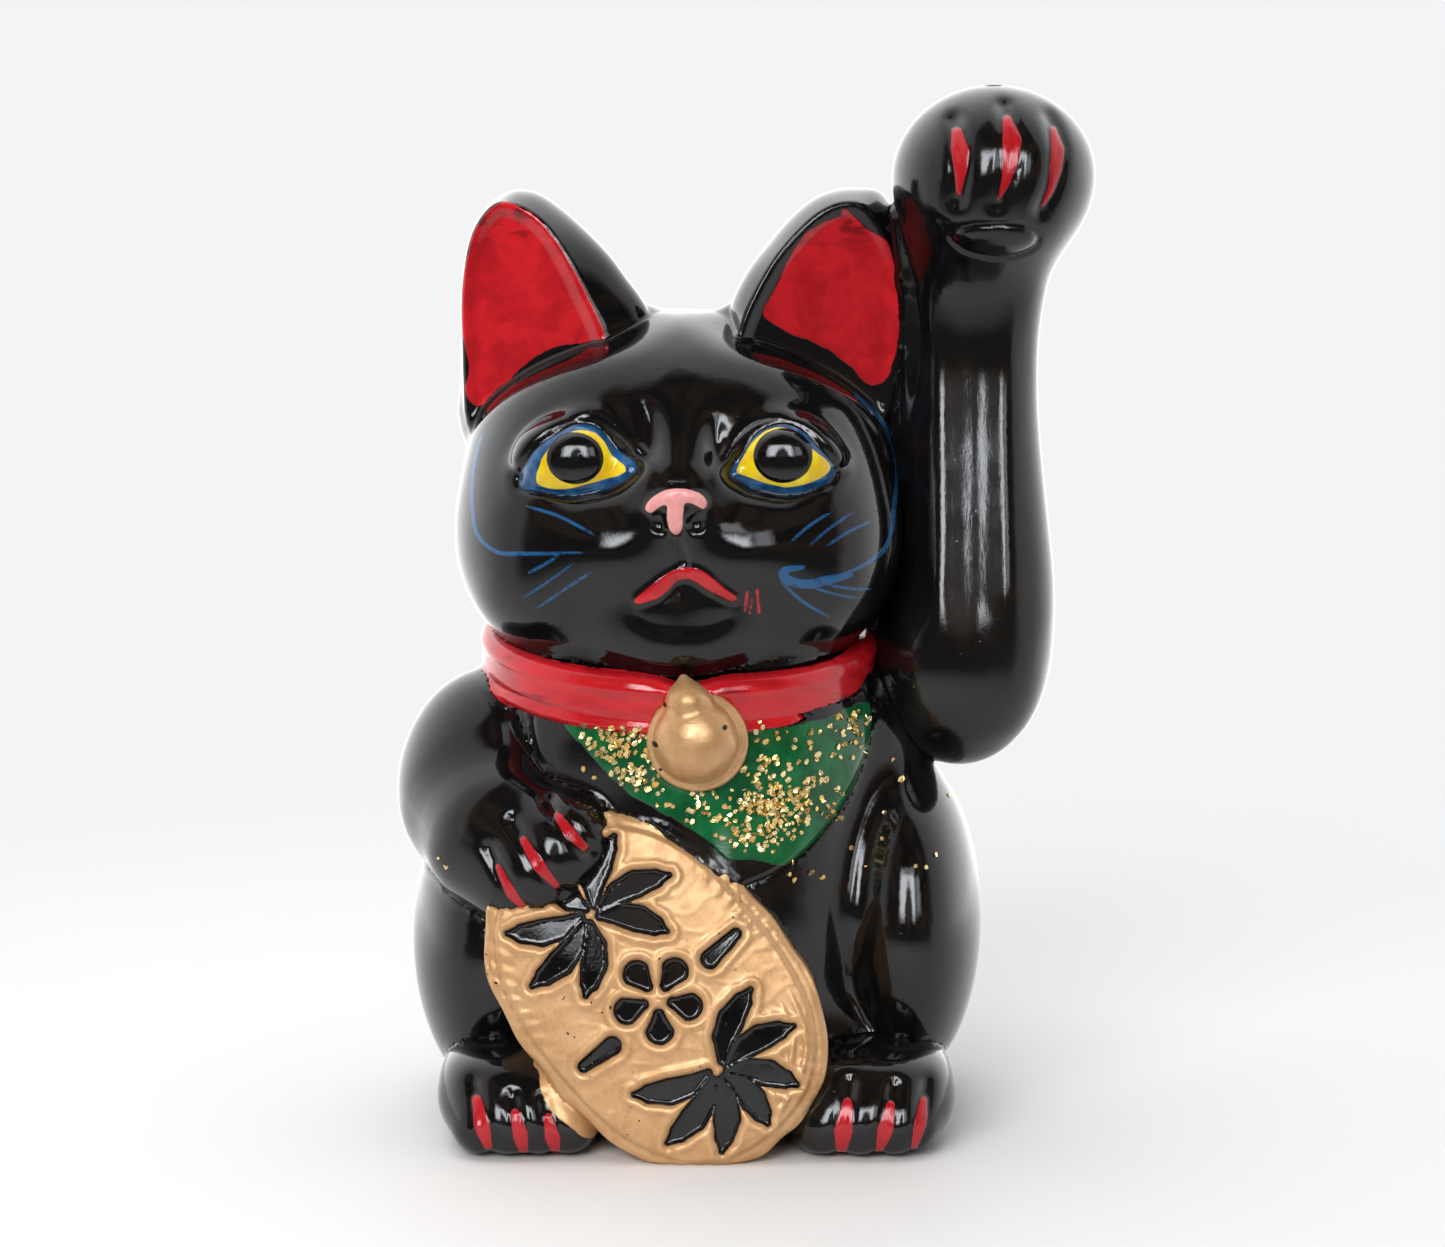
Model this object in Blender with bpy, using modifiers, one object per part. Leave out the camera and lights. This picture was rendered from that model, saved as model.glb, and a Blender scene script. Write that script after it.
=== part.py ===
"""A beckoning cat figurine: a seated cat in hollow cast earthenware, 180 mm tall.

The hollow body, head and raised arm are cast as separate shells and luted
together with the solid members (coin arm, feet, tail) and the raised dress
(collar, bib, bell, coin).  A rubber bung closes the drain hole in the base.

Metres, +Z up.  The cat faces -Y; its raised left arm is on the +X side.
The origin is the middle of the base's footprint.
"""

import math

import bmesh
import bpy
from mathutils import Euler, Matrix, Vector

# ---------------------------------------------------------------- dimensions
MM = 0.001
HEIGHT = 180.0                    # base to the top of the raised paw
WALL = 4.0                        # cast wall of the body and the head
ARM_WALL = 3.6                    # cast wall of the raised arm
GAP = 0.36                        # joint line kept between neighbouring pieces
ORIGIN = (9.0, 2.3, 0.0)          # where the row's origin lies in the cat's own layout

HEAD_X = -2.0                     # the head sits a little to the cat's right
HEAD_C = (HEAD_X, 1.0, 110.3)
HEAD_R = (37.4, 31.0, 31.0)
NECK_HOLE_R = 11.0                # opening between the head's and the body's hollows
NECK_HOLE_AT = (0.0, 4.0)

DRAIN_R = 8.5                     # drain hole through the base
DRAIN_AT = (0.0, 6.0)
SEAT_R = 11.5                     # shallow seat for the bung's flange
SEAT_DEPTH = 2.4
BUNG_FIT = 0.4                    # clearance round the bung

VENT_R = 1.2                      # firing vent at the top of the raised paw
VENT_AT = (51.6, -5.5)

PAW_C = (51.6, -4.5, 164.5)
PAW_R = (17.3, 17.3, 15.6)

COLLAR_C = (-2.1, -1.5, 81.2)
COLLAR_R = (31.6, 27.6)
COLLAR_HALF = (2.7, 5.2)          # half thickness and half height of the band
COLLAR_TILT = (8.5, 1.5)          # degrees down at the front, and down at one side

BIB_C = (2.0, 75.0)
BIB_R = 29.5
BIB_RISE = 1.9                    # how far the bib stands off the chest

COIN_C = (-5.8, -33.0, 28.4)
COIN_HALF = (23.4, 32.8)
COIN_POWER = 2.35
COIN_LEAN = (-8.0, -40.0)         # degrees about X, then about Y

PARTS = bpy.data.collections.new("beckoning_cat_figurine")
CUTTERS = bpy.data.collections.new("cutters")


# ------------------------------------------------------------------ helpers
def clear_scene():
    for obj in list(bpy.data.objects):
        bpy.data.objects.remove(obj, do_unlink=True)
    bpy.context.scene.collection.children.link(PARTS)
    bpy.context.scene.collection.children.link(CUTTERS)


def at(point):
    """Layout millimetres to metres about the origin."""
    return Vector([(p - o) * MM for p, o in zip(point, ORIGIN)])


def turn(x=0.0, y=0.0, z=0.0):
    return Euler([math.radians(a) for a in (x, y, z)]).to_matrix()


def ball(bm, centre, radii, rotation=None, power=2.0, segments=32):
    """An ellipsoid, or a superellipsoid where power is over 2."""
    place = Matrix.Translation(at(centre))
    if rotation is not None:
        place = place @ rotation.to_4x4()
    place = place @ Matrix.Diagonal((*[r * MM for r in radii], 1.0))
    made = bmesh.ops.create_uvsphere(bm, u_segments=segments, v_segments=segments // 2, radius=1.0)
    for vert in made["verts"]:
        size = sum(abs(c) ** power for c in vert.co) ** (1.0 / power)
        vert.co = place @ (vert.co / size)


def cone(bm, start, end, r_start, r_end, segments=28):
    a, b = at(start), at(end)
    along = b - a
    place = Matrix.Translation((a + b) / 2) @ along.to_track_quat("Z", "Y").to_matrix().to_4x4()
    bmesh.ops.create_cone(
        bm, cap_ends=True, segments=segments, radius1=r_start * MM, radius2=r_end * MM,
        depth=along.length, matrix=place)


def limb(bm, stations, squash=None):
    """Round stations (point, radius) joined by tapered lengths."""
    for point, radius in stations:
        ball(bm, point, (radius,) * 3)
    for (a, ra), (b, rb) in zip(stations[:-1], stations[1:]):
        cone(bm, a, b, ra, rb)


def squash_y(bm, middle, factor):
    for vert in bm.verts:
        vert.co.y = at((0, middle, 0)).y + (vert.co.y - at((0, middle, 0)).y) * factor


def new_object(name, bm, collection):
    mesh = bpy.data.meshes.new(name)
    bmesh.ops.recalc_face_normals(bm, faces=bm.faces)
    bm.to_mesh(mesh)
    bm.free()
    obj = bpy.data.objects.new(name, mesh)
    collection.objects.link(obj)
    if collection is CUTTERS:
        obj.hide_render = True
        obj.display_type = "WIRE"
    return obj


def bake(obj):
    """Replaces the object's mesh with its evaluated one, and drops the modifiers."""
    bpy.context.view_layer.update()
    graph = bpy.context.evaluated_depsgraph_get()
    mesh = bpy.data.meshes.new_from_object(obj.evaluated_get(graph))
    old = obj.data
    obj.modifiers.clear()
    obj.data = mesh
    mesh.name = obj.name
    bpy.data.meshes.remove(old)
    return obj


def skin(obj, voxel, smooth, triangles):
    """One even skin over the overlapping forms, with its creases softened."""
    remesh = obj.modifiers.new("skin", "REMESH")
    remesh.mode = "VOXEL"
    remesh.voxel_size = voxel * MM
    soften = obj.modifiers.new("soften", "SMOOTH")
    soften.factor = 0.5
    soften.iterations = smooth
    bake(obj)
    faces = sum(len(p.vertices) - 2 for p in obj.data.polygons)
    thin = obj.modifiers.new("thin", "DECIMATE")
    thin.ratio = min(1.0, triangles / faces)
    thin.use_collapse_triangulate = True
    return bake(obj)


def boolean(obj, other, operation="DIFFERENCE"):
    cut = obj.modifiers.new(other.name, "BOOLEAN")
    cut.operation = operation
    cut.solver = "EXACT"
    cut.object = other
    return bake(obj)


def largest(obj):
    """Drops the loose slivers that a cut leaves in a crevice."""
    bm = bmesh.new()
    bm.from_mesh(obj.data)
    left = set(bm.verts)
    islands = []
    while left:
        island, edge = set(), [left.pop()]
        while edge:
            vert = edge.pop()
            island.add(vert)
            for link in vert.link_edges:
                other = link.other_vert(vert)
                if other in left:
                    left.remove(other)
                    edge.append(other)
        islands.append(island)
    keep = max(islands, key=len)
    bmesh.ops.delete(bm, geom=[v for v in bm.verts if v not in keep], context="VERTS")
    bm.to_mesh(obj.data)
    bm.free()
    return obj


def grown(obj, amount, name):
    """A cutter: the piece with its surface moved out by this many millimetres."""
    bm = bmesh.new()
    bm.from_mesh(obj.data)
    bm.normal_update()
    moved = [vert.co + vert.normal * amount * MM * vert.calc_shell_factor() ** 0.5 for vert in bm.verts]
    for vert, co in zip(bm.verts, moved):
        vert.co = co
    return new_object(name, bm, CUTTERS)


def block(name, low, high):
    bm = bmesh.new()
    middle = [(a + b) / 2 for a, b in zip(low, high)]
    size = [(b - a) * MM for a, b in zip(low, high)]
    bmesh.ops.create_cube(bm, size=1.0, matrix=Matrix.Translation(at(middle)) @ Matrix.Diagonal((*size, 1.0)))
    return new_object(name, bm, CUTTERS)


def rod(name, start, end, radius, segments=32, end_radius=None):
    bm = bmesh.new()
    cone(bm, start, end, radius, radius if end_radius is None else end_radius, segments)
    return new_object(name, bm, CUTTERS)


def paint(obj, colour, roughness, metallic=0.0):
    material = bpy.data.materials.new(obj.name)
    material.use_nodes = True
    shader = material.node_tree.nodes["Principled BSDF"]
    shader.inputs["Base Color"].default_value = (*colour, 1.0)
    shader.inputs["Roughness"].default_value = roughness
    shader.inputs["Metallic"].default_value = metallic
    obj.data.materials.clear()
    obj.data.materials.append(material)
    obj.data.shade_smooth()
    obj.data.set_sharp_from_angle(angle=math.radians(50))


# ------------------------------------------------------------------- forms
def body_form(inset=0.0):
    """Seated body: belly, chest, lap, two haunches and a broad flat foot to stand on."""
    bm = bmesh.new()

    def part(centre, radii, power=2.0):
        ball(bm, centre, [r - inset for r in radii], power=power)

    part((0.5, 5.0, 40.0), (39.0, 33.0, 44.0))
    part((-1.5, -1.0, 70.0), (33.5, 28.6, 22.0))
    part((-2.0, -1.0, 82.0), (29.4, 25.6, 8.4), power=2.6)
    part((-0.5, 2.0, 60.0), (36.2, 29.0, 24.0))
    part((0.5, -10.0, 36.0), (26.0, 21.5, 32.0))
    part((30.8, 0.0, 66.0), (9.8, 10.2, 16.0))
    part((0.5, 5.0, 13.0), (40.0, 31.0, 17.0), power=3.0)
    if inset == 0.0:
        part((37.3, 1.0, 34.0), (13.9, 27.2, 29.0))
        part((-34.4, 2.0, 30.5), (14.9, 27.0, 28.5))
    return bm


def head_form():
    bm = bmesh.new()
    ball(bm, HEAD_C, HEAD_R, power=2.25)
    for side in (-1, 1):
        def q(x, y, z):
            return (HEAD_X + side * x, y, z)
        ball(bm, q(19.3, -8.4, 101.0), (18.2, 22.0, 18.8))      # cheek
        ball(bm, q(17.2, -22.6, 118.4), (10.4, 6.6, 7.2))       # eye
        ball(bm, q(8.0, -25.0, 103.6), (12.0, 9.0, 7.6))        # muzzle
    ball(bm, (HEAD_X, -25.2, 91.0), (12.5, 7.0, 8.6))           # chin
    ball(bm, (HEAD_X, -4.5, 87.0), (26.6, 21.6, 9.0))           # jaw
    limb(bm, [((HEAD_X, -8.0, 127.0), 8.0), ((HEAD_X, -28.9, 113.0), 6.5)])    # bridge of the nose
    return bm


def ear_form(side):
    """A thick leaf, pointed upwards and outwards."""
    bm = bmesh.new()
    limb(bm, [((HEAD_X + side * 20.2, 4.0, 128.0), 18.2), ((HEAD_X + side * 29.6, 4.0, 154.2), 7.5)])
    squash_y(bm, 4.0, 0.95)
    return bm


def ear_front(side):
    """What is sliced off an ear to give it its flat painted front, turned a little outwards."""
    bm = bmesh.new()
    bmesh.ops.create_cube(bm, size=1.0)
    for vert in bm.verts:
        u = 60.0 if vert.co.x > 0 else -10.0
        z = 185.0 if vert.co.z > 0 else 100.0
        y = -60.0 if vert.co.y < 0 else -5.0 + 0.31 * (u - 29.0) - 0.055 * (z - 140.0)
        vert.co = at((HEAD_X + side * u, y, z))
    return bm


def raised_arm_stations(inset=0.0):
    return [(point, radius - inset) for point, radius in (
        ((45.4, 0.0, 76.0), 13.4), ((47.0, 0.0, 81.5), 15.2), ((48.4, 0.2, 89.0), 14.9), ((48.8, 1.4, 102.0), 13.7),
        ((48.6, 3.0, 114.0), 12.5), ((48.5, 4.8, 134.0), 11.3), ((49.0, 3.2, 143.0), 11.7), ((50.2, -0.6, 153.0), 12.6))]


def coin_form():
    """A long domed coin with a superelliptic outline, leaning across the lap."""
    bm = bmesh.new()
    made = bmesh.ops.create_uvsphere(bm, u_segments=32, v_segments=8, radius=1.0,
                                     matrix=Matrix.Rotation(math.pi / 2, 4, "X"))
    rotation = turn(x=COIN_LEAN[0]) @ turn(y=COIN_LEAN[1])
    for vert in made["verts"]:
        x, y, z = vert.co
        reach = math.hypot(x, z)
        if reach > 1e-6:
            angle_x, angle_z = x / reach, z / reach
            size = (abs(angle_x / COIN_HALF[0]) ** COIN_POWER + abs(angle_z / COIN_HALF[1]) ** COIN_POWER) ** (-1 / COIN_POWER)
            spread = reach ** 0.55
            x, z = angle_x * size * spread, angle_z * size * spread
            dome = -5.0 + 2.4 * spread ** 2
        else:
            x = z = 0.0
            dome = -5.0
        y = dome + 0.6 * (1 - reach) if y < 0 else 9.0
        if reach > 0.999:
            y = 1.5
        vert.co = at(COIN_C) + rotation @ (Vector((x, y, z)) * MM)
    return bm


# -------------------------------------------------------------------- build
def build():
    clear_scene()
    ground = block("ground", (-120, -120, -60), (120, 120, 0))

    # body shell
    torso = skin(new_object("torso_shell", body_form(), PARTS), 1.6, 3, 1250)
    boolean(torso, ground)
    torso_solid = grown(torso, 0.0, "torso_solid")
    torso_gap = grown(torso, GAP, "torso_gap")

    # head shell
    head = skin(new_object("head_shell", head_form(), PARTS), 1.4, 2, 1250)
    for side, name in ((-1, "ear_right"), (1, "ear_left")):
        ear = skin(new_object(name, ear_form(side), CUTTERS), 1.2, 2, 240)
        boolean(ear, new_object(name + "_front", ear_front(side), CUTTERS))
        boolean(head, ear, "UNION")
    head_gap = grown(head, GAP, "head_gap")
    boolean(head, torso_gap)

    # collar band, a closed ring round the neck
    bm = bmesh.new()
    profile = []
    for i in range(10):
        angle = 2 * math.pi * i / 10
        c, s = math.cos(angle), math.sin(angle)
        x = math.copysign(abs(c) ** 0.6, c) * COLLAR_HALF[0]
        z = math.copysign(abs(s) ** 0.6, s) * COLLAR_HALF[1]
        profile.append(bm.verts.new(((30.0 + x) * MM, 0.0, z * MM)))
    for a, b in zip(profile, profile[1:] + profile[:1]):
        bm.edges.new((a, b))
    bmesh.ops.spin(bm, geom=bm.verts[:] + bm.edges[:], axis=(0, 0, 1), cent=(0, 0, 0),
                   angle=2 * math.pi, steps=36, use_merge=True, use_duplicate=False)
    bmesh.ops.remove_doubles(bm, verts=bm.verts, dist=0.00001)
    tilt = turn(x=COLLAR_TILT[0]) @ turn(y=COLLAR_TILT[1])
    for vert in bm.verts:
        rim = Vector((vert.co.x, vert.co.y, 0.0))
        way = rim.normalized()
        off = rim.length - 30.0 * MM
        vert.co.x = way.x * (COLLAR_R[0] * MM + off)
        vert.co.y = way.y * (COLLAR_R[1] * MM + off)
        vert.co = at(COLLAR_C) + tilt @ vert.co
    collar = new_object("collar_band", bm, PARTS)
    collar_gap = grown(collar, GAP, "collar_gap")
    boolean(collar, torso_gap)
    boolean(collar, head_gap)

    # raised arm shell
    bm = bmesh.new()
    limb(bm, raised_arm_stations())
    ball(bm, PAW_C, PAW_R)
    limb(bm, [((36.4, 3.0, 82.0), 4.8), ((37.4, 3.0, 154.0), 4.3)])   # web to the head
    arm = skin(new_object("raised_arm_shell", bm, PARTS), 1.3, 3, 800)
    arm_gap = grown(arm, GAP, "arm_gap")
    for cutter in (torso_gap, head_gap, collar_gap):
        boolean(arm, cutter)
    largest(arm)
    bm = bmesh.new()
    limb(bm, raised_arm_stations(ARM_WALL)[1:])
    ball(bm, PAW_C, [r - ARM_WALL for r in PAW_R])
    arm_hollow = skin(new_object("arm_hollow", bm, CUTTERS), 1.6, 3, 260)
    boolean(arm, arm_hollow)
    vent = rod("vent", (VENT_AT[0], VENT_AT[1], 172.0), (VENT_AT[0], VENT_AT[1], 190.0), VENT_R, 12)
    boolean(arm, vent)

    # bib, a raised apron on the chest below the collar
    bib = grown(torso_solid, BIB_RISE, "bib")
    CUTTERS.objects.unlink(bib)
    PARTS.objects.link(bib)
    bib.hide_render = False
    bib.display_type = "TEXTURED"
    disc = rod("bib_outline", (BIB_C[0], -80.0, BIB_C[1]), (BIB_C[0], -3.0, BIB_C[1]), BIB_R, 40)
    boolean(bib, disc, "INTERSECT")
    boolean(bib, block("bib_top", (-60, -80, 77.2), (60, 40, 130)))
    for cutter in (torso_gap, collar_gap, arm_gap, head_gap):
        boolean(bib, cutter)
    largest(bib)
    bib_gap = grown(torso_solid, BIB_RISE + GAP, "bib_gap")
    boolean(bib_gap, rod("bib_gap_outline", (BIB_C[0], -80.0, BIB_C[1]), (BIB_C[0], -2.6, BIB_C[1]), BIB_R + GAP, 40),
            "INTERSECT")

    # arm that holds the coin
    bm = bmesh.new()
    ball(bm, (-33.6, -4.0, 59.5), (17.2, 16.5, 20.0))
    limb(bm, [((-34.2, -8.0, 57.5), 15.8), ((-31.8, -17.6, 53.0), 14.2)])
    ball(bm, (-24.4, -25.8, 50.4), (14.0, 10.6, 9.5), turn(y=-44.0))
    coin_arm = skin(new_object("coin_arm", bm, PARTS), 1.3, 3, 700)
    coin_arm_gap = grown(coin_arm, GAP, "coin_arm_gap")
    for cutter in (torso_gap, collar_gap, bib_gap, head_gap):
        boolean(coin_arm, cutter)

    # feet
    feet_gap = []
    for side, name, x, w in ((1, "left_foot", 29.7, 15.4), (-1, "right_foot", -28.5, 14.6)):
        bm = bmesh.new()
        ball(bm, (x, -19.5, 9.8), (w, 15.5, 8.4), power=2.7)
        ball(bm, (x, -21.5, 6.0), (w - 1.2, 16.0, 7.6), power=2.5)
        for toe in (-7.4, -0.2, 6.8):
            limb(bm, [((x + side * toe, -24.0, 9.6), 4.4), ((x + side * toe * 1.02, -32.4, 5.0), 4.4)])
        foot = skin(new_object(name, bm, PARTS), 1.2, 2, 420)
        boolean(foot, ground)
        feet_gap.append(grown(foot, GAP, name + "_gap"))
        boolean(foot, torso_gap)

    # coin
    coin = new_object("koban_plaque", coin_form(), PARTS)
    coin_gap = grown(coin, GAP, "coin_gap")
    for cutter in (torso_gap, bib_gap, coin_arm_gap, *feet_gap, ground):
        boolean(coin, cutter)
    largest(coin)

    # bell with its loop
    bm = bmesh.new()
    ball(bm, (1.1, -31.6, 71.6), (8.4, 6.6, 8.4))
    ball(bm, (-0.4, -32.6, 78.6), (3.7, 3.9, 3.9))
    bell = skin(new_object("bell", bm, PARTS), 0.8, 2, 360)
    for cutter in (torso_gap, collar_gap, bib_gap, coin_gap, head_gap):
        boolean(bell, cutter)
    largest(bell)

    # tail, a short curl up the back
    bm = bmesh.new()
    limb(bm, [((12.0, 34.0, 7.2), 6.4), ((3.0, 38.0, 9.0), 6.4), ((-6.0, 38.5, 14.0), 6.2),
              ((-11.0, 37.5, 22.0), 5.8), ((-11.5, 36.0, 29.0), 5.0)])
    tail = skin(new_object("tail", bm, PARTS), 1.1, 3, 340)
    for cutter in (torso_gap, ground):
        boolean(tail, cutter)

    # hollows, neck opening and drain hole
    hollow = skin(new_object("body_hollow", body_form(WALL), CUTTERS), 2.0, 3, 420)
    keep = block("hollow_keep", (-80, -80, WALL), (80, 80, 120))
    boolean(hollow, keep, "INTERSECT")
    boolean(torso, hollow)
    x, y = NECK_HOLE_AT
    boolean(torso, rod("neck_opening", (x, y, 78.0), (x, y, 110.0), NECK_HOLE_R))
    x, y = DRAIN_AT
    boolean(torso, rod("drain_hole", (x, y, -5.0), (x, y, 12.0), DRAIN_R))
    boolean(torso, rod("bung_seat", (x, y, -5.0), (x, y, SEAT_DEPTH), SEAT_R))

    bm = bmesh.new()
    ball(bm, HEAD_C, [r - WALL for r in HEAD_R], power=2.4)
    for side in (-1, 1):
        ball(bm, (HEAD_X + side * 18.6, -8.0, 102.0), (14.2, 17.6, 14.5))
    head_hollow = skin(new_object("head_hollow", bm, CUTTERS), 2.0, 3, 320)
    boolean(head_hollow, grown(torso_solid, WALL, "head_floor"))
    boolean(head, head_hollow)
    x, y = NECK_HOLE_AT
    boolean(head, rod("head_opening", (x, y, 78.0), (x, y, 105.0), NECK_HOLE_R))

    # bung, a turned rubber stopper with a flange and a grip bead
    radius = DRAIN_R - BUNG_FIT
    flange = SEAT_R - BUNG_FIT
    outline = ((0.0, 8.0), (radius - 1.4, 8.0), (radius - 0.4, 7.0), (radius, 2.0 + GAP), (flange, 2.0),
               (flange, 1.0), (flange - 0.4, 0.6), (3.6, 0.6), (3.0, 1.4), (0.0, 1.4))
    bm = bmesh.new()
    previous = None
    for r, z in outline:
        vert = bm.verts.new((r * MM, 0.0, z * MM))
        if previous is not None:
            bm.edges.new((previous, vert))
        previous = vert
    mesh = bpy.data.meshes.new("base_stopper")
    bm.to_mesh(mesh)
    bm.free()
    stopper = bpy.data.objects.new("base_stopper", mesh)
    PARTS.objects.link(stopper)
    stopper.location = at((*DRAIN_AT, 0.0))
    screw = stopper.modifiers.new("turn", "SCREW")
    screw.steps = screw.render_steps = 32
    screw.use_merge_vertices = True
    screw.merge_threshold = 0.00001
    bake(stopper)

    black, gold, red = (0.012, 0.012, 0.013), (0.66, 0.40, 0.16), (0.55, 0.012, 0.02)
    for piece in (torso, head, arm, coin_arm, tail):
        paint(piece, black, 0.08)
    for name in ("left_foot", "right_foot"):
        paint(bpy.data.objects[name], black, 0.08)
    paint(collar, red, 0.18)
    paint(bib, (0.008, 0.13, 0.045), 0.15)
    paint(bell, gold, 0.35, 0.6)
    paint(coin, gold, 0.38, 0.6)
    paint(stopper, (0.03, 0.03, 0.03), 0.7)


build()
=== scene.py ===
"""Looks for the beckoning cat figurine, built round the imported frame.

Every form is written as a distance field in the cat's own layout (millimetres,
x to the cat's left, the face towards -y, z up from the table), meshed piece by
piece, and laid in the row's frame.  Paint is a set of signed distances stored on
the mesh, which the materials turn into edges, brush marks and wear.
"""

import math

import bmesh
import bpy
import numpy as np
from mathutils import Matrix, Vector
from mathutils.bvhtree import BVHTree


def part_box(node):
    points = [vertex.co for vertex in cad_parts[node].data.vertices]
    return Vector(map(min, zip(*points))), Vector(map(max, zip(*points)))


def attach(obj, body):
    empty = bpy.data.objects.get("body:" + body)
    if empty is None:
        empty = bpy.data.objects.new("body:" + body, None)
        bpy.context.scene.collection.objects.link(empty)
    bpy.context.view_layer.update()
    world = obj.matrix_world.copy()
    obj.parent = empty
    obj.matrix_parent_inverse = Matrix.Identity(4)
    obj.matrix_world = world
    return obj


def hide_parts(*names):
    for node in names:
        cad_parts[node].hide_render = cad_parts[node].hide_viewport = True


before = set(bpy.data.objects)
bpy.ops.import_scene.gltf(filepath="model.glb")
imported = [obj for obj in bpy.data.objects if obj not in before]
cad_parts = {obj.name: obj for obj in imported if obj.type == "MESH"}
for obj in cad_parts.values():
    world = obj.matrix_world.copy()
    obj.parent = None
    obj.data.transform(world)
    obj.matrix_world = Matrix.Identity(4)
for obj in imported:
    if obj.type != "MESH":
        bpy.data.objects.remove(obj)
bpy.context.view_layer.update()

F32 = np.float32
ORIGIN = np.array([9.0, 2.3, 0.0])
FINE = 1.0                      # scales every cell size

# ------------------------------------------------------------ distance fields


def V(*a):
    return np.array(a, F32)


def norm(q):
    return np.sqrt((q * q).sum(1))


def rot(axis, deg):
    a = np.radians(deg); c, s = np.cos(a), np.sin(a)
    m = {"x": [[1, 0, 0], [0, c, -s], [0, s, c]], "y": [[c, 0, s], [0, 1, 0], [-s, 0, c]],
         "z": [[c, -s, 0], [s, c, 0], [0, 0, 1]]}[axis]
    return np.array(m, F32)


def ell(p, c, r, R=None):
    q = p - V(*c)
    if R is not None:
        q = q @ R
    r = V(*r)
    k0 = norm(q / r); k1 = norm(q / (r * r))
    return k0 * (k0 - 1) / np.maximum(k1, 1e-6)


def sell(p, c, r, n, R=None):
    q = p - V(*c)
    if R is not None:
        q = q @ R
    k = (np.abs(q / V(*r)) ** n).sum(1) ** (1.0 / n)
    return norm(q) * (1 - 1 / np.maximum(k, 1e-3))


def rcone(p, a, b, ra, rb):
    a = V(*a); b = V(*b); ba = b - a
    l2 = float(ba @ ba); rr = ra - rb; a2 = l2 - rr * rr; il2 = 1 / l2
    pa = p - a
    y = pa @ ba; z = y - l2
    w = pa * l2 - np.outer(y, ba)
    x2 = (w * w).sum(1); y2 = y * y * l2; z2 = z * z * l2
    k = np.sign(rr) * rr * rr * x2
    out = (np.sqrt(np.maximum(x2 * a2 * il2, 0)) + y * rr) * il2 - ra
    m1 = np.sign(z) * a2 * z2 > k
    m2 = (np.sign(y) * a2 * y2 < k) & ~m1
    out[m1] = np.sqrt(x2[m1] + z2[m1]) * il2 - rb
    out[m2] = np.sqrt(x2[m2] + y2[m2]) * il2 - ra
    return out.astype(F32)


def chain(p, pts, k=2.0):
    d = None
    for (a, ra), (b, rb) in zip(pts[:-1], pts[1:]):
        e = rcone(p, a, b, ra, rb)
        d = e if d is None else smin(d, e, k)
    return d


def smin(a, b, k):
    h = np.maximum(k - np.abs(a - b), 0) / k
    return np.minimum(a, b) - h * h * k * 0.25


def smax(a, b, k):
    return -smin(-a, -b, k)


def step(a, b, x):
    t = np.clip((x - a) / (b - a), 0, 1)
    return t * t * (3 - 2 * t)


def bell_curve(x, w):
    return np.exp(-(x / w) ** 2)


# --------------------------------------------------------- outlines seen face on
def spline(pts, closed=False, n=6):
    """Points of a smooth curve through pts."""
    pts = np.array(pts, float)
    m = len(pts)
    out = []
    for i in range(m if closed else m - 1):
        p0, p1, p2, p3 = (pts[(i + k) % m] if closed else pts[min(max(i + k, 0), m - 1)] for k in (-1, 0, 1, 2))
        for t in np.arange(n) / n:
            out.append(0.5 * (2 * p1 + (p2 - p0) * t + (2 * p0 - 5 * p1 + 4 * p2 - p3) * t ** 2 + (3 * p1 - p0 - 3 * p2 + p3) * t ** 3))
    if not closed:
        out.append(pts[-1])
    return np.array(out, F32)


def line2(P, pts, reach=6.0):
    """Distance from P (N x 2) to an open run of points; far points just get reach."""
    out = np.full(len(P), reach, F32)
    lo = pts.min(0) - reach; hi = pts.max(0) + reach
    m = ((P > lo) & (P < hi)).all(1)
    if not m.any():
        return out
    Q = P[m]
    best = np.full(len(Q), reach * reach, F32)
    for a, b in zip(pts[:-1], pts[1:]):
        ba = b - a; qa = Q - a
        t = np.clip((qa @ ba) / max(float(ba @ ba), 1e-9), 0, 1)
        w = qa - t[:, None] * ba
        best = np.minimum(best, (w * w).sum(1))
    out[m] = np.sqrt(best)
    return out


def stroke2(P, pts, reach=6.0):
    """As line2, for points (x, z, half width): negative inside the stroke."""
    pts = np.array(pts, F32)
    out = np.full(len(P), reach, F32)
    lo = pts[:, :2].min(0) - reach; hi = pts[:, :2].max(0) + reach
    m = ((P > lo) & (P < hi)).all(1)
    if not m.any():
        return out
    Q = P[m]
    best = np.full(len(Q), reach, F32)
    for a, b in zip(pts[:-1], pts[1:]):
        ba = b[:2] - a[:2]; qa = Q - a[:2]
        t = np.clip((qa @ ba) / max(float(ba @ ba), 1e-9), 0, 1)
        w = qa - t[:, None] * ba
        best = np.minimum(best, norm(w) - (a[2] + (b[2] - a[2]) * t))
    out[m] = best
    return out


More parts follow.
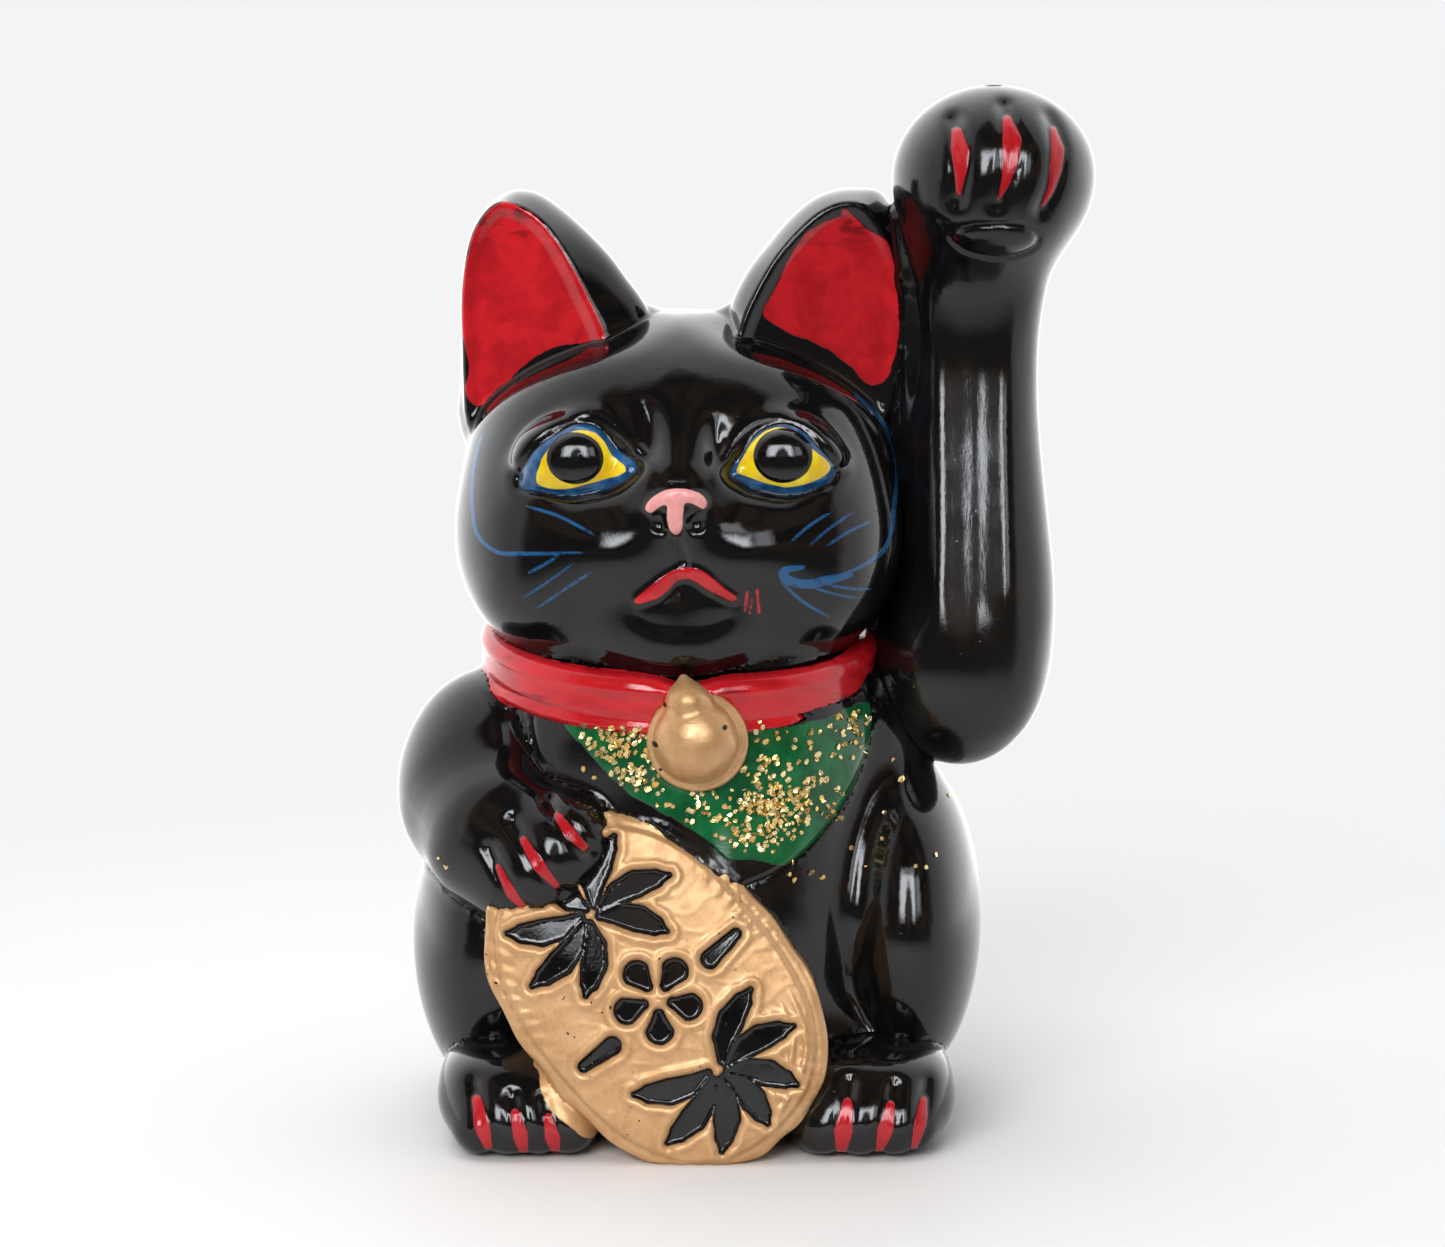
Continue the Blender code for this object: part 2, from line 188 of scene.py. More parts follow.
def area2(P, pts, reach=6.0):
    """Signed distance to a closed outline, negative inside."""
    ring = np.concatenate([pts, pts[:1]])
    out = np.full(len(P), reach, F32)
    lo = pts.min(0) - reach; hi = pts.max(0) + reach
    m = ((P > lo) & (P < hi)).all(1)
    if not m.any():
        return out
    Q = P[m]
    best = np.full(len(Q), 1e9, F32); inside = np.zeros(len(Q), bool)
    for a, b in zip(ring[:-1], ring[1:]):
        ba = b - a; qa = Q - a
        t = np.clip((qa @ ba) / max(float(ba @ ba), 1e-9), 0, 1)
        w = qa - t[:, None] * ba
        best = np.minimum(best, (w * w).sum(1))
        cross = (a[1] > Q[:, 1]) != (b[1] > Q[:, 1])
        if cross.any():
            xs = a[0] + (Q[:, 1] - a[1]) * (b[0] - a[0]) / (b[1] - a[1] if b[1] != a[1] else 1e-9)
            inside ^= cross & (Q[:, 0] < xs)
    d = np.sqrt(best)
    out[m] = np.minimum(np.where(inside, -d, d), reach)
    return out


EAR_FACE_R = spline([(-33.6, 159.9), (-30.8, 160.1), (-27.4, 158.7), (-24.5, 156.4), (-22.0, 153.0), (-19.9, 149.3), (-17.8, 144.7), (-16.1, 141.3), (-14.6, 137.3), (-13.8, 133.9), (-17.3, 129.3), (-27.6, 122.3), (-34.6, 120.0), (-38.7, 121.8), (-39.3, 129.3), (-39.4, 136.1), (-39.5, 141.9), (-39.1, 147.6), (-38.0, 153.3), (-36.2, 157.2)], True, 3)
EAR_FACE_L = spline([(8.5, 139.0), (9.6, 141.9), (11.6, 146.1), (14.8, 151.4), (18.9, 156.0), (22.2, 158.7), (25.8, 160.2), (29.5, 159.8), (32.4, 156.7), (34.4, 153.3), (35.8, 149.3), (36.4, 144.2), (36.2, 139.0), (35.9, 133.9), (35.2, 128.7), (34.3, 123.5), (29.8, 120.0), (19.4, 125.8), (10.2, 130.4), (7.6, 135.0)], True, 3)
EAR_BACK_R = spline([(-40.1, 128.4), (-40.2, 135.4), (-40.2, 141.2), (-39.8, 146.9), (-38.6, 152.7), (-37.0, 156.7), (-34.4, 159.9), (-31.2, 161.7), (-28.4, 161.9), (-25.5, 161.0), (-22.0, 158.6), (-18.0, 155.1), (-14.0, 151.0), (-11.1, 147.1), (-8.2, 143.2), (-7.1, 140.0), (-8.3, 133.0), (-16.4, 127.2), (-28.1, 121.4), (-39.1, 121.4)], True, 3)
EAR_BACK_L = spline([(7.1, 140.0), (7.1, 142.9), (9.7, 148.1), (13.2, 152.7), (17.2, 157.3), (21.2, 160.5), (25.2, 162.0), (29.3, 162.2), (32.7, 161.6), (34.8, 159.0), (36.2, 154.4), (37.5, 149.2), (37.9, 143.5), (37.5, 137.7), (37.0, 130.7), (35.9, 122.5), (30.1, 119.0), (19.6, 122.5), (10.3, 127.2), (7.1, 133.0)], True, 3)
# painted areas
EAR_R = spline([(-32.0, 160.3), (-30.6, 160.1), (-26.8, 158.2), (-23.2, 154.3), (-20.0, 149.1), (-17.3, 144.2), (-14.4, 137.6), (-15.2, 137.0), (-18.3, 136.3), (-22.6, 135.7), (-26.0, 134.2), (-28.9, 131.9), (-31.7, 129.2), (-34.4, 126.2), (-36.8, 124.9), (-38.5, 126.1), (-38.9, 128.4), (-38.3, 131.7), (-39.5, 137.7), (-40.1, 142.3), (-38.8, 148.7), (-37.3, 154.4), (-34.6, 158.7)], True)
EAR_L = spline([(26.1, 159.3), (28.2, 157.5), (30.3, 155.6), (33.7, 153.3), (35.2, 148.4), (35.9, 142.7), (36.0, 136.9), (34.6, 131.4), (33.3, 129.1), (31.2, 128.6), (29.4, 129.7), (27.5, 132.0), (24.3, 134.5), (20.9, 136.4), (16.9, 138.0), (14.1, 139.8), (12.4, 141.7), (14.8, 146.3), (16.8, 150.7), (19.6, 155.0), (22.3, 156.6), (25.6, 157.9)], True)
EYE_R = spline([(-28.6, 114.1), (-26.2, 119.6), (-22.1, 122.8), (-18.8, 124.2), (-15.3, 123.7), (-12.0, 120.2), (-8.9, 117.9), (-10.9, 115.3), (-14.8, 113.5), (-19.9, 112.6), (-25.3, 113.1)], True)
EYE_L = spline([(6.9, 116.4), (8.8, 119.4), (11.3, 122.8), (15.1, 124.2), (18.6, 123.3), (21.5, 120.5), (24.2, 116.9), (23.7, 114.7), (22.0, 113.9), (17.0, 112.7), (11.1, 113.7), (8.9, 114.8)], True)
YELLOW_R = spline([(-25.5, 114.6), (-24.9, 118.1), (-23.4, 120.6), (-21.3, 122.4), (-18.8, 123.4), (-16.3, 123.2), (-14.3, 121.7), (-12.9, 119.4), (-10.6, 117.4), (-11.4, 116.3), (-15.0, 115.2), (-18.8, 114.1), (-22.3, 113.6)], True)
YELLOW_L = spline([(7.9, 116.7), (8.9, 118.9), (10.4, 121.4), (13.1, 123.5), (15.9, 123.8), (18.3, 122.7), (20.3, 120.6), (23.3, 117.9), (23.2, 116.4), (20.8, 115.0), (16.6, 114.0), (12.6, 114.8), (10.1, 115.7)], True)
PUPIL_R = ((-19.1, 118.9), (4.75, 4.3))
PUPIL_L = ((15.6, 119.3), (4.95, 4.5))
NOSE = spline([(-7.3, 111.2), (-6.5, 112.8), (-4.5, 114.2), (-2.2, 114.7), (0.1, 114.5), (2.1, 113.6), (2.9, 112.2), (2.3, 111.3), (0.6, 112.2), (-0.7, 112.2), (-1.0, 110.7), (-1.2, 108.0), (-2.1, 106.8), (-3.0, 107.4), (-3.7, 109.3), (-3.7, 111.9), (-4.8, 111.7), (-6.3, 110.6)], True)
LIPS = spline([(-9.1, 95.7), (-6.9, 97.7), (-4.4, 99.6), (-2.2, 100.8), (-0.2, 101.2), (1.8, 100.8), (3.8, 99.5), (5.7, 97.7), (7.9, 96.0), (7.3, 95.2), (5.4, 96.0), (3.1, 97.2), (1.2, 98.6), (-0.6, 99.1), (-2.3, 98.5), (-3.6, 97.2), (-5.3, 95.9), (-7.3, 95.2), (-8.8, 94.9)], True)
MOUTH = spline([(-9.3, 95.0), (-7.2, 94.6), (-5.2, 95.3), (-3.4, 96.8), (-2.2, 98.2), (-0.6, 98.8), (1.2, 98.3), (3.0, 96.8), (5.3, 95.5), (7.6, 94.9)])
CHIN = spline([(-9.1, 92.8), (-5.8, 92.6), (-0.8, 92.6), (3.7, 92.5), (6.4, 92.2), (4.7, 90.2), (2.1, 89.1), (-1.6, 88.9), (-5.6, 89.7), (-7.8, 91.0)], True)
BIB = spline([(-24.1, 76.5), (-22.5, 76.4), (-20.8, 74.7), (-17.5, 74.1), (-12.2, 74.1), (-1.6, 75.7), (10.0, 75.0), (11.8, 75.4), (14.7, 73.0), (22.9, 73.7), (30.4, 75.0), (31.2, 70.1), (31.0, 66.9), (29.4, 61.0), (27.4, 56.5), (23.0, 53.1), (18.2, 49.7), (15.8, 49.6), (11.3, 50.9), (6.6, 51.4), (3.7, 53.9), (0.0, 56.6), (-8.4, 61.1), (-12.3, 63.9), (-17.6, 69.4), (-20.8, 72.5)], True)
PAD = spline([(44.1, 154.9), (45.3, 156.5), (47.8, 157.2), (51.9, 157.4), (55.6, 157.2), (57.9, 156.1), (58.7, 154.5), (57.5, 152.8), (53.9, 151.6), (49.7, 151.8), (46.3, 152.9)], True)
BRIDGE_R = spline([(-7.4, 127.8), (-6.6, 125.4), (-6.2, 122.2), (-6.9, 119.3), (-8.2, 117.1)])
BRIDGE_L = spline([(4.3, 125.6), (4.1, 122.1), (4.4, 119.1), (5.4, 117.1)])
WHISKERS = [
    ([(-35.6, 120.8), (-36.8, 116.0), (-37.0, 110.8), (-36.0, 105.3), (-32.4, 102.8), (-28.2, 102.9), (-23.7, 103.2), (-17.7, 103.7)], 0.34),
    ([(28.3, 127.5), (32.5, 123.2), (35.2, 117.8), (35.6, 113.3), (34.9, 109.3), (34.1, 104.8), (32.6, 102.1), (30.1, 100.8), (27.5, 99.8), (23.9, 98.9)], 0.42),
    ([(-27.3, 110.7), (-21.6, 109.3), (-15.7, 106.6)], 0.25),
    ([(-27.0, 99.7), (-24.6, 101.1), (-22.1, 102.7)], 0.25),
    ([(-28.1, 95.2), (-23.4, 98.6), (-19.2, 101.9)], 0.22),
    ([(-25.6, 93.6), (-20.9, 97.1), (-16.2, 100.5)], 0.26),
    ([(16.9, 105.3), (20.1, 107.8), (23.9, 109.8)], 0.25),
    ([(20.0, 104.5), (23.5, 107.2), (27.5, 109.5)], 0.22),
    ([(23.0, 104.3), (26.6, 106.3), (30.6, 107.6)], 0.25),
    ([(15.3, 98.5), (19.0, 94.8), (23.7, 91.7)], 0.26),
    ([(20.0, 97.5), (24.5, 95.9), (28.6, 94.6)], 0.22),
    ([(22.7, 97.8), (26.7, 96.7), (30.7, 95.9)], 0.25),
    ([(27.0, 99.0), (23.9, 98.6), (20.2, 98.0), (17.6, 98.3), (15.8, 99.4), (16.1, 100.6), (19.0, 100.9)], 0.8),
]
SCRATCHES = [([(9.6, 96.8), (9.3, 93.5)], 0.22), ([(11.3, 97.1), (11.6, 93.1)], 0.26), ([(10.4, 95.3), (10.1, 92.9)], 0.18)]
# claws: x, z and half width along each stroke
PAW_CLAWS = [[(44.8, 172.4, 0.9), (45.2, 169.7, 1.45), (45.3, 166.4, 1.05), (45.0, 162.4, 0.35)],
             [(53.2, 174.4, 0.8), (53.8, 171.3, 1.6), (53.5, 168.1, 1.3), (52.9, 164.8, 0.8), (51.7, 161.6, 0.25)],
             [(61.1, 172.8, 0.5), (61.7, 169.6, 1.15), (61.3, 166.3, 1.0), (60.5, 163.0, 0.6), (59.2, 160.3, 0.2)]]
COIN_CLAWS = [[(-22.2, 58.8, 0.6), (-20.1, 56.4, 0.95), (-17.6, 53.8, 0.6)],
              [(-27.9, 55.0, 0.6), (-25.4, 51.3, 1.1), (-22.3, 47.4, 0.5)],
              [(-32.2, 50.2, 0.5), (-30.0, 46.0, 0.95), (-27.3, 42.4, 0.35)]]
LOBE = spline([(-26.4, 16.5), (-25.6, 14.6), (-25.0, 11.4), (-23.0, 8.4), (-20.3, 6.3), (-17.1, 3.5), (-14.0, 4.0), (-14.0, 17.0), (-20.0, 18.5)], True)
FOOT_CLAWS = {-1: [[(-36.1, 10.2, 0.8), (-35.2, 6.6, 1.35), (-34.2, 2.6, 0.7)], [(-29.5, 8.4, 0.8), (-28.6, 5.0, 1.3), (-28.2, 1.4, 0.7)],
                   [(-24.0, 7.8, 0.7), (-23.2, 4.2, 1.25), (-22.8, 1.2, 0.7)]],
              1: [[(26.6, 10.0, 0.9), (25.9, 5.6, 1.5), (25.6, 1.2, 0.8)], [(33.9, 9.6, 0.8), (33.0, 5.6, 1.3), (32.0, 1.6, 0.6)],
                  [(39.6, 9.8, 0.7), (39.0, 6.3, 1.1), (37.9, 2.2, 0.5)]]}


# ------------------------------------------------------------------ the forms
HX = -2.0
HC = (HX, 1.0, 110.3)
CHEEK, CHEEK_R = (19.3, -8.4, 101.0), (18.2, 22.0, 18.8)
BROW = ((12.0, -12.5, 147.0), (40.0, -3.0, 133.0), 6.4, 5.2)


def ear(p, face, back, side):
    """A thick leaf of clay: a flat front turned outwards, its edge rolling back to a wider outline."""
    u, z = (p[:, 0] - HX) * side, p[:, 2]
    P = p[:, [0, 2]]
    df, db = area2(P, face, 14.0), area2(P, back, 14.0)
    front = -5.0 + 0.31 * (u - 29.0) - 0.055 * (z - 140.0)
    t = p[:, 1] - front
    roll = np.sin(np.clip(t / 9.5, 0, 1) * np.pi / 2)
    edge = df + (db - df) * roll
    edge = edge + np.maximum(t - 10.5, 0) ** 2 * 0.09
    dish = 0.95 * step(-0.4, -3.0, df)
    return smax(edge * 0.86, (dish - t) * 0.92, 0.7)


def head_smooth(p):
    q = p.copy(); q[:, 0] = np.abs(p[:, 0] - HX)
    d = sell(p, HC, (37.4, 31.0, 31.0), 2.25)
    d = smin(d, ell(q, CHEEK, CHEEK_R), 8.0)
    # the brow is a dome set in front of the ears
    d = smax(d, -rcone(q, *BROW), 9.0)
    for face, back, side in ((EAR_FACE_R, EAR_BACK_R, -1), (EAR_FACE_L, EAR_BACK_L, 1)):
        u = (p[:, 0] - HX) * side
        m = (u > 2) & (u < 48) & (p[:, 2] > 108) & (p[:, 2] < 172) & (p[:, 1] > -18) & (p[:, 1] < 26)
        if m.any():
            e = ear(p[m], face, back, side)
            # the inner side runs out on the crown in a soft saddle, the front in a crisp crease
            k = 0.9 + 7.0 * step(-4.0, 6.0, p[m, 1])
            h = np.maximum(k - np.abs(d[m] - e), 0) / k
            d[m] = np.minimum(d[m], e) - h * h * k * 0.25
    # face
    d = smax(d, -ell(q, (17.6, -33.6, 120.0), (11.5, 7.0, 8.6)), 5.0)
    d = smin(d, ell(q, (8.0, -25.0, 103.6), (12.0, 9.0, 7.6)), 6.0)
    d = smin(d, ell(q, (0, -25.2, 91.0), (12.5, 7.0, 8.6)), 6.0)
    d = smin(d, rcone(q, (0, -8.0, 127.0), (0, -28.9, 113.0), 8.0, 6.5), 8.0)
    d = smin(d, ell(p, (HX, -4.5, 87.0), (27.0, 23.0, 9.5)), 7.0)                   # jaw
    d = smin(d, sell(p, (HX, -1.5, 84.0), (29.0, 25.8, 8.0), 2.6), 2.0)            # neck
    return smin(d, ell(q, (17.2, -22.6, 118.4), (10.4, 6.6, 7.2)), 1.2)


def head_relief(p):
    """Millimetres by which the face stands proud of the smooth head."""
    P = p[:, [0, 2]]
    r = np.zeros(len(p), F32)
    for eye, pupil in ((EYE_R, PUPIL_R), (EYE_L, PUPIL_L)):
        e = area2(P, eye)
        upper = step(114.5, 119.0, P[:, 1])
        r -= 0.38 * bell_curve(e - 0.1, 0.6)
        r += (0.62 * upper + 0.15 * (1 - upper)) * bell_curve(e - 2.1, 1.25) + 0.3 * step(0.2, -2.0, e)
        (cx, cz), (rx, rz) = pupil
        k = np.sqrt(((P[:, 0] - cx) / rx) ** 2 + ((P[:, 1] - cz) / rz) ** 2)
        r += 0.5 * np.sqrt(np.maximum(1 - np.minimum(k, 1.0) ** 2, 0)) * step(1.05, 0.85, k)
    for b in (BRIDGE_R, BRIDGE_L):
        ends = step(-2.5, 4.5, np.minimum(P[:, 1] - b[:, 1].min(), b[:, 1].max() - P[:, 1]))
        r -= 1.15 * bell_curve(line2(P, b), 1.9) * ends
    n = area2(P, NOSE)
    r += 0.5 * step(0.9, -0.7, n)
    for x in (-4.9, 1.1):
        k = np.sqrt(((P[:, 0] - x) / 1.6) ** 2 + ((P[:, 1] - 109.0) / 1.9) ** 2)
        r -= 0.95 * step(1.4, 0.2, k)
    r -= 0.5 * bell_curve(line2(P, np.array([(-2.0, 106.6), (-1.2, 104.0), (-0.6, 101.8)], F32)), 0.9)
    r += 0.4 * step(1.2, -0.6, area2(P, LIPS))
    r -= 0.15 * bell_curve(line2(P, MOUTH), 1.0)
    r -= 0.6 * step(2.4, -2.8, area2(P, CHIN))
    return r * step(-8.0, -14.0, p[:, 1])


def head(p):
    d = head_smooth(p)
    m = (p[:, 1] < -8) & (np.abs(d) < 6) & (p[:, 2] > 84) & (p[:, 2] < 134)
    if m.any():
        d[m] -= head_relief(p[m])
    return d


def torso(p):
    d = ell(p, (0.5, 5, 40), (39, 33, 44))
    d = smin(d, ell(p, (-1.5, -1, 70), (33.5, 28.0, 22)), 12.0)
    d = smin(d, sell(p, (-2.0, -1, 82), (29.0, 25.2, 8.0), 2.6), 4.0)
    d = smin(d, sell(p, (0.5, 5, 13), (39.5, 30.5, 16.5), 3.0), 6.0)
    d = smin(d, ell(p, (0.5, -10, 36), (26, 21.5, 32)), 8.0)
    d = smin(d, ell(p, (30.8, 0, 66.0), (9.8, 10.2, 16.0)), 7.0)          # shoulder under the raised arm
    h = ell(p, (37.3, 1.0, 34.0), (13.9, 27.2, 29.0))
    h2 = ell(p, (-34.4, 2.0, 30.5), (14.9, 27.0, 28.5))
    # the haunch parts from the belly in a soft crease that sharpens towards the foot
    k = 1.8 + 4.2 * step(18.0, 42.0, p[:, 2])
    h = np.minimum(h, h2)
    e = np.maximum(k - np.abs(d - h), 0) / k
    d = np.minimum(d, h) - e * e * k * 0.25
    return smax(d, -p[:, 2], 3.0)


def claws_relief(P, claws, groove, width, claw):
    r = np.zeros(len(P), F32)
    for c in claws:
        c = np.array(c, F32)
        line = np.concatenate([c[:1, :2] + (c[:1, :2] - c[1:2, :2]) * 0.7, c[:, :2], c[-1:, :2] + (c[-1:, :2] - c[-2:-1, :2]) * 0.3])
        r -= groove * bell_curve(line2(P, line), width)
        r += claw * step(0.5, -0.8, stroke2(P, c))
    return r


def foot(p, side):
    q = p.copy(); q[:, 0] = p[:, 0] * side
    x, w = (29.7, 15.4) if side > 0 else (28.5, 14.6)
    d = sell(q, (x, -19.5, 9.8), (w, 15.5, 8.2), 2.7)
    d = smin(d, sell(q, (x, -21.5, 6.0), (w - 1.2, 16.0, 7.4), 2.5), 5.0)
    for dx, dz in ((-7.4, 0.0), (-0.2, 0.4), (6.8, -0.1)):                 # knuckles
        d = smin(d, rcone(q, (x + dx, -24.0, 9.4 + dz), (x + dx * 1.02, -32.6, 4.6 + dz), 4.2, 4.2), 3.4)
    m = (p[:, 1] < -18) & (np.abs(d) < 5)
    if m.any():
        P = p[m][:, [0, 2]]
        d[m] -= claws_relief(P, FOOT_CLAWS[side], 0.8, 1.4, 0.5) * step(-20, -28, p[m][:, 1])
    return smax(d, -p[:, 2], 2.0)


ARM = np.array([  # z, middle x, half width, half depth, middle y
    (60, 46.4, 6.0, 6.0, 0.0), (68, 47.0, 10.4, 10.2, 0.0), (74, 47.3, 13.4, 13.2, 0.0), (80, 47.7, 14.8, 14.6, 0.0), (88, 48.4, 15.1, 14.8, 0.2), (96, 48.8, 14.5, 14.3, 0.8), (105, 48.8, 13.6, 13.3, 1.8),
    (114, 48.6, 12.8, 12.2, 3.0), (124, 48.4, 12.2, 11.0, 4.2), (134, 48.5, 12.0, 10.4, 4.8), (142, 48.9, 12.3, 10.7, 3.6), (150, 49.8, 12.8, 11.4, 0.6), (158, 50.8, 13.0, 12.0, -2.4), (170, 51.6, 12.0, 11.6, -4.5)], float)


def smooth_table(z, rows):
    """Each column of rows as a smooth function of the first."""
    k = rows[:, 0]
    i = np.clip(np.searchsorted(k, z) - 1, 0, len(k) - 2)
    p0, p1, p2, p3 = rows[np.maximum(i - 1, 0)], rows[i], rows[i + 1], rows[np.minimum(i + 2, len(k) - 1)]
    t = np.clip((z - k[i]) / (k[i + 1] - k[i]), 0, 1)[:, None]
    h = (p2[:, :1] - p1[:, :1])
    m1 = (p2 - p0) / np.maximum(p2[:, :1] - p0[:, :1], 1e-6) * h
    m2 = (p3 - p1) / np.maximum(p3[:, :1] - p1[:, :1], 1e-6) * h
    return (2 * t ** 3 - 3 * t ** 2 + 1) * p1 + (t ** 3 - 2 * t ** 2 + t) * m1 + (3 * t ** 2 - 2 * t ** 3) * p2 + (t ** 3 - t ** 2) * m2


def raised_arm(p):
    c = smooth_table(np.clip(p[:, 2], 60, 170), ARM).astype(F32)
    x, y = p[:, 0] - c[:, 1], p[:, 1] - c[:, 4]
    n = 2.45
    k = (np.abs(x / c[:, 2]) ** n + np.abs(y / c[:, 3]) ** n) ** (1 / n)
    d = np.sqrt(x * x + y * y) * (1 - 1 / np.maximum(k, 1e-3))
    d = smax(d, p[:, 2] - 167.0, 6.0)
    d = smax(d, 68.0 - p[:, 2], 3.0)
    d = smin(d, ell(p, (47.0, 0, 81.6), (15.6, 15.2, 20.0)), 2.0)
    d = smin(d, ell(p, (51.9, -4.5, 164.6), (17.3, 17.3, 15.5)), 6.0)
    # the web of clay that ties the arm to the side of the head and the ear
    w = p.copy(); w[:, 1] = (p[:, 1] - 3.0) / 0.8
    web = rcone(w, (36.4, 0, 82.0), (37.4, 0, 155.0), 5.0, 4.4) * 0.85
    d = smin(d, web, 4.0)
    # the mould's seam stands up in a fine ridge where the arm leaves the head
    seam = chain(p, [((36.4, -3.6, 86.0), 0.9), ((37.4, -2.6, 98.0), 1.3), ((37.8, -0.9, 118.0), 1.4), ((37.9, -0.7, 136.0), 1.4),
                     ((37.2, -2.6, 147.0), 1.4), ((35.0, -6.0, 158.0), 1.2)], 2.0)
    d = smin(d, seam, 2.2)
    # flattened front with two soft edges down the forearm
    fade = step(82, 95, p[:, 2]) * step(147, 132, p[:, 2]) * step(2, -6, p[:, 1])
    d = d - fade * (0.55 * bell_curve(p[:, 0] - 42.6, 2.4) + 0.6 * bell_curve(p[:, 0] - 54.6, 2.6) + 0.15 * bell_curve(p[:, 0] - 49.0, 1.6))
    m = (p[:, 1] < -8) & (np.abs(d) < 5) & (p[:, 2] > 147)
    if m.any():
        P = p[m][:, [0, 2]]
        e = area2(P, PAD)
        r = claws_relief(P, PAW_CLAWS, 1.0, 1.6, 0.6) - 0.45 * bell_curve(e, 0.5) + 0.5 * step(0.3, -2.2, e)
        d[m] -= r * step(-9, -14, p[m][:, 1])
    # firing vent
    v = p - V(51.6, -5.5, 0)
    vent = np.maximum(np.sqrt(v[:, 0] ** 2 + v[:, 1] ** 2) - 1.2, 171.0 - p[:, 2])
    return smax(d, -vent, 0.5)


TS = np.stack([V(0.72, 0, 0.694), V(0, 1, 0), V(0.694, 0, -0.72)], 1)


def coin_arm(p):
    d = ell(p, (-33.6, -4.0, 59.5), (17.2, 16.5, 20.0))
    d = smin(d, rcone(p, (-34.2, -8.0, 57.5), (-31.8, -17.6, 53.0), 15.8, 14.2), 4.0)
    d = smin(d, ell(p, (-24.4, -25.8, 50.4), (14.0, 10.6, 9.5), TS), 5.0)
    m = (p[:, 1] < -20) & (np.abs(d) < 5)
    if m.any():
        d[m] -= claws_relief(p[m][:, [0, 2]], COIN_CLAWS, 0.85, 1.3, 0.5) * step(-22, -29, p[m][:, 1])
    return d


KR = rot("x", -8.0) @ rot("y", -40.0)
KC = (-5.8, -33.0, 28.4)
KA, KB = 23.4, 32.8


def sprig(base, tips, widths=(0.8, 2.35, 0.45)):
    out = []
    for tip in tips:
        a, b = np.array(base, float), np.array(tip, float)
        side = np.array([-(b - a)[1], (b - a)[0]]) * 0.08
        a = a + (b - a) * 0.12
        out.append([(*a, widths[0]), (*(a + (b - a) * 0.30 + side), widths[1] * 0.86), (*(a + (b - a) * 0.55 + side), widths[1]),
                    (*(a + (b - a) * 0.8 + side * 0.5), widths[1] * 0.72), (*b, widths[2])])
    return out


# a generic motif of bamboo leaves round a plum blossom
MOTIF = sprig((0.5, 17.5), [(-12.5, 24.0), (-15.0, 14.5), (-9.0, 7.5), (12.0, 25.0), (14.8, 14.0), (8.5, 7.0), (0.0, 28.5)])
MOTIF += sprig((0.0, -16.5), [(-13.5, -10.5), (-14.5, -20.5), (-8.5, -27.5), (13.0, -9.5), (14.5, -19.0), (8.5, -27.0), (0.5, -29.0)])
for i in range(5):
    a = math.radians(90 + 72 * i)
    MOTIF.append([(2.6 * math.cos(a), 2.6 * math.sin(a) - 0.6, 0.9), (5.4 * math.cos(a), 5.4 * math.sin(a) - 0.6, 2.35)])
MOTIF.append([(-17.0, -1.5, 1.0), (-11.0, -1.8, 1.6)]); MOTIF.append([(11.0, -1.2, 1.6), (17.0, -0.8, 1.0)])


def koban_frame(p):
    q = (p - V(*KC)) @ KR
    n = 2.35
    k = ((np.abs(q[:, 0]) / KA) ** n + (np.abs(q[:, 2]) / KB) ** n) ** (1 / n)
    edge = norm(q[:, [0, 2]]) * (1 - 1 / np.maximum(k, 1e-3))
    return q, k, edge


def motif(P):
    d = np.full(len(P), 6.0, F32)
    for s in MOTIF:
        d = np.minimum(d, stroke2(P, s))
    return d


def koban_relief(q, edge):
    P = q[:, [0, 2]]
    m = motif(P)
    r = 0.75 * step(-2.9, -1.9, edge) * step(0.2, -0.5, edge)                 # rim
    r += 1.15 * step(0.55, -0.55, m) - 0.35 * bell_curve(m - 1.15, 0.6)       # strokes in their troughs
    ang = np.arctan2(q[:, 2] / KB, q[:, 0] / KA)
    field = step(-2.6, -3.6, edge) * step(0.9, 1.9, m)
    r += 0.17 * np.sin(ang * 64 + 1.5 * np.sin(ang * 7)) * step(-5.8, -3.4, edge) * step(-0.4, -1.2, edge) * (0.5 + 0.5 * np.sin(ang * 5 + 1))
    low = step(-12, -20, q[:, 2]) * step(0, 6, q[:, 0])
    r -= 0.55 * np.maximum(np.sin((edge + 0.3 * np.sin(ang * 9)) * 2.6), 0) * low * field
    r -= 0.07 * bell_curve(np.sin(q[:, 2] * 0.8 + q[:, 0] * 0.45 + np.sin(q[:, 0] * 0.6)), 0.4) * field * (1 - low)
    return r


def koban(p):
    q, k, edge = koban_frame(p)
    dome = q[:, 1] + 5.0 - 2.6 * np.minimum(k, 1.2) ** 2
    m = (np.abs(dome) < 5) & (edge < 1.5)
    if m.any():
        dome[m] -= koban_relief(q[m], edge[m])
    wob = 0.18 * np.sin(q[:, 2] * 0.55) + 0.15 * np.sin(q[:, 0] * 0.8 + 1)
    d = smax(edge + wob, -dome, 1.6)
    return smax(smax(d, q[:, 1] - 9.0, 1.0), -p[:, 2], 0.8)


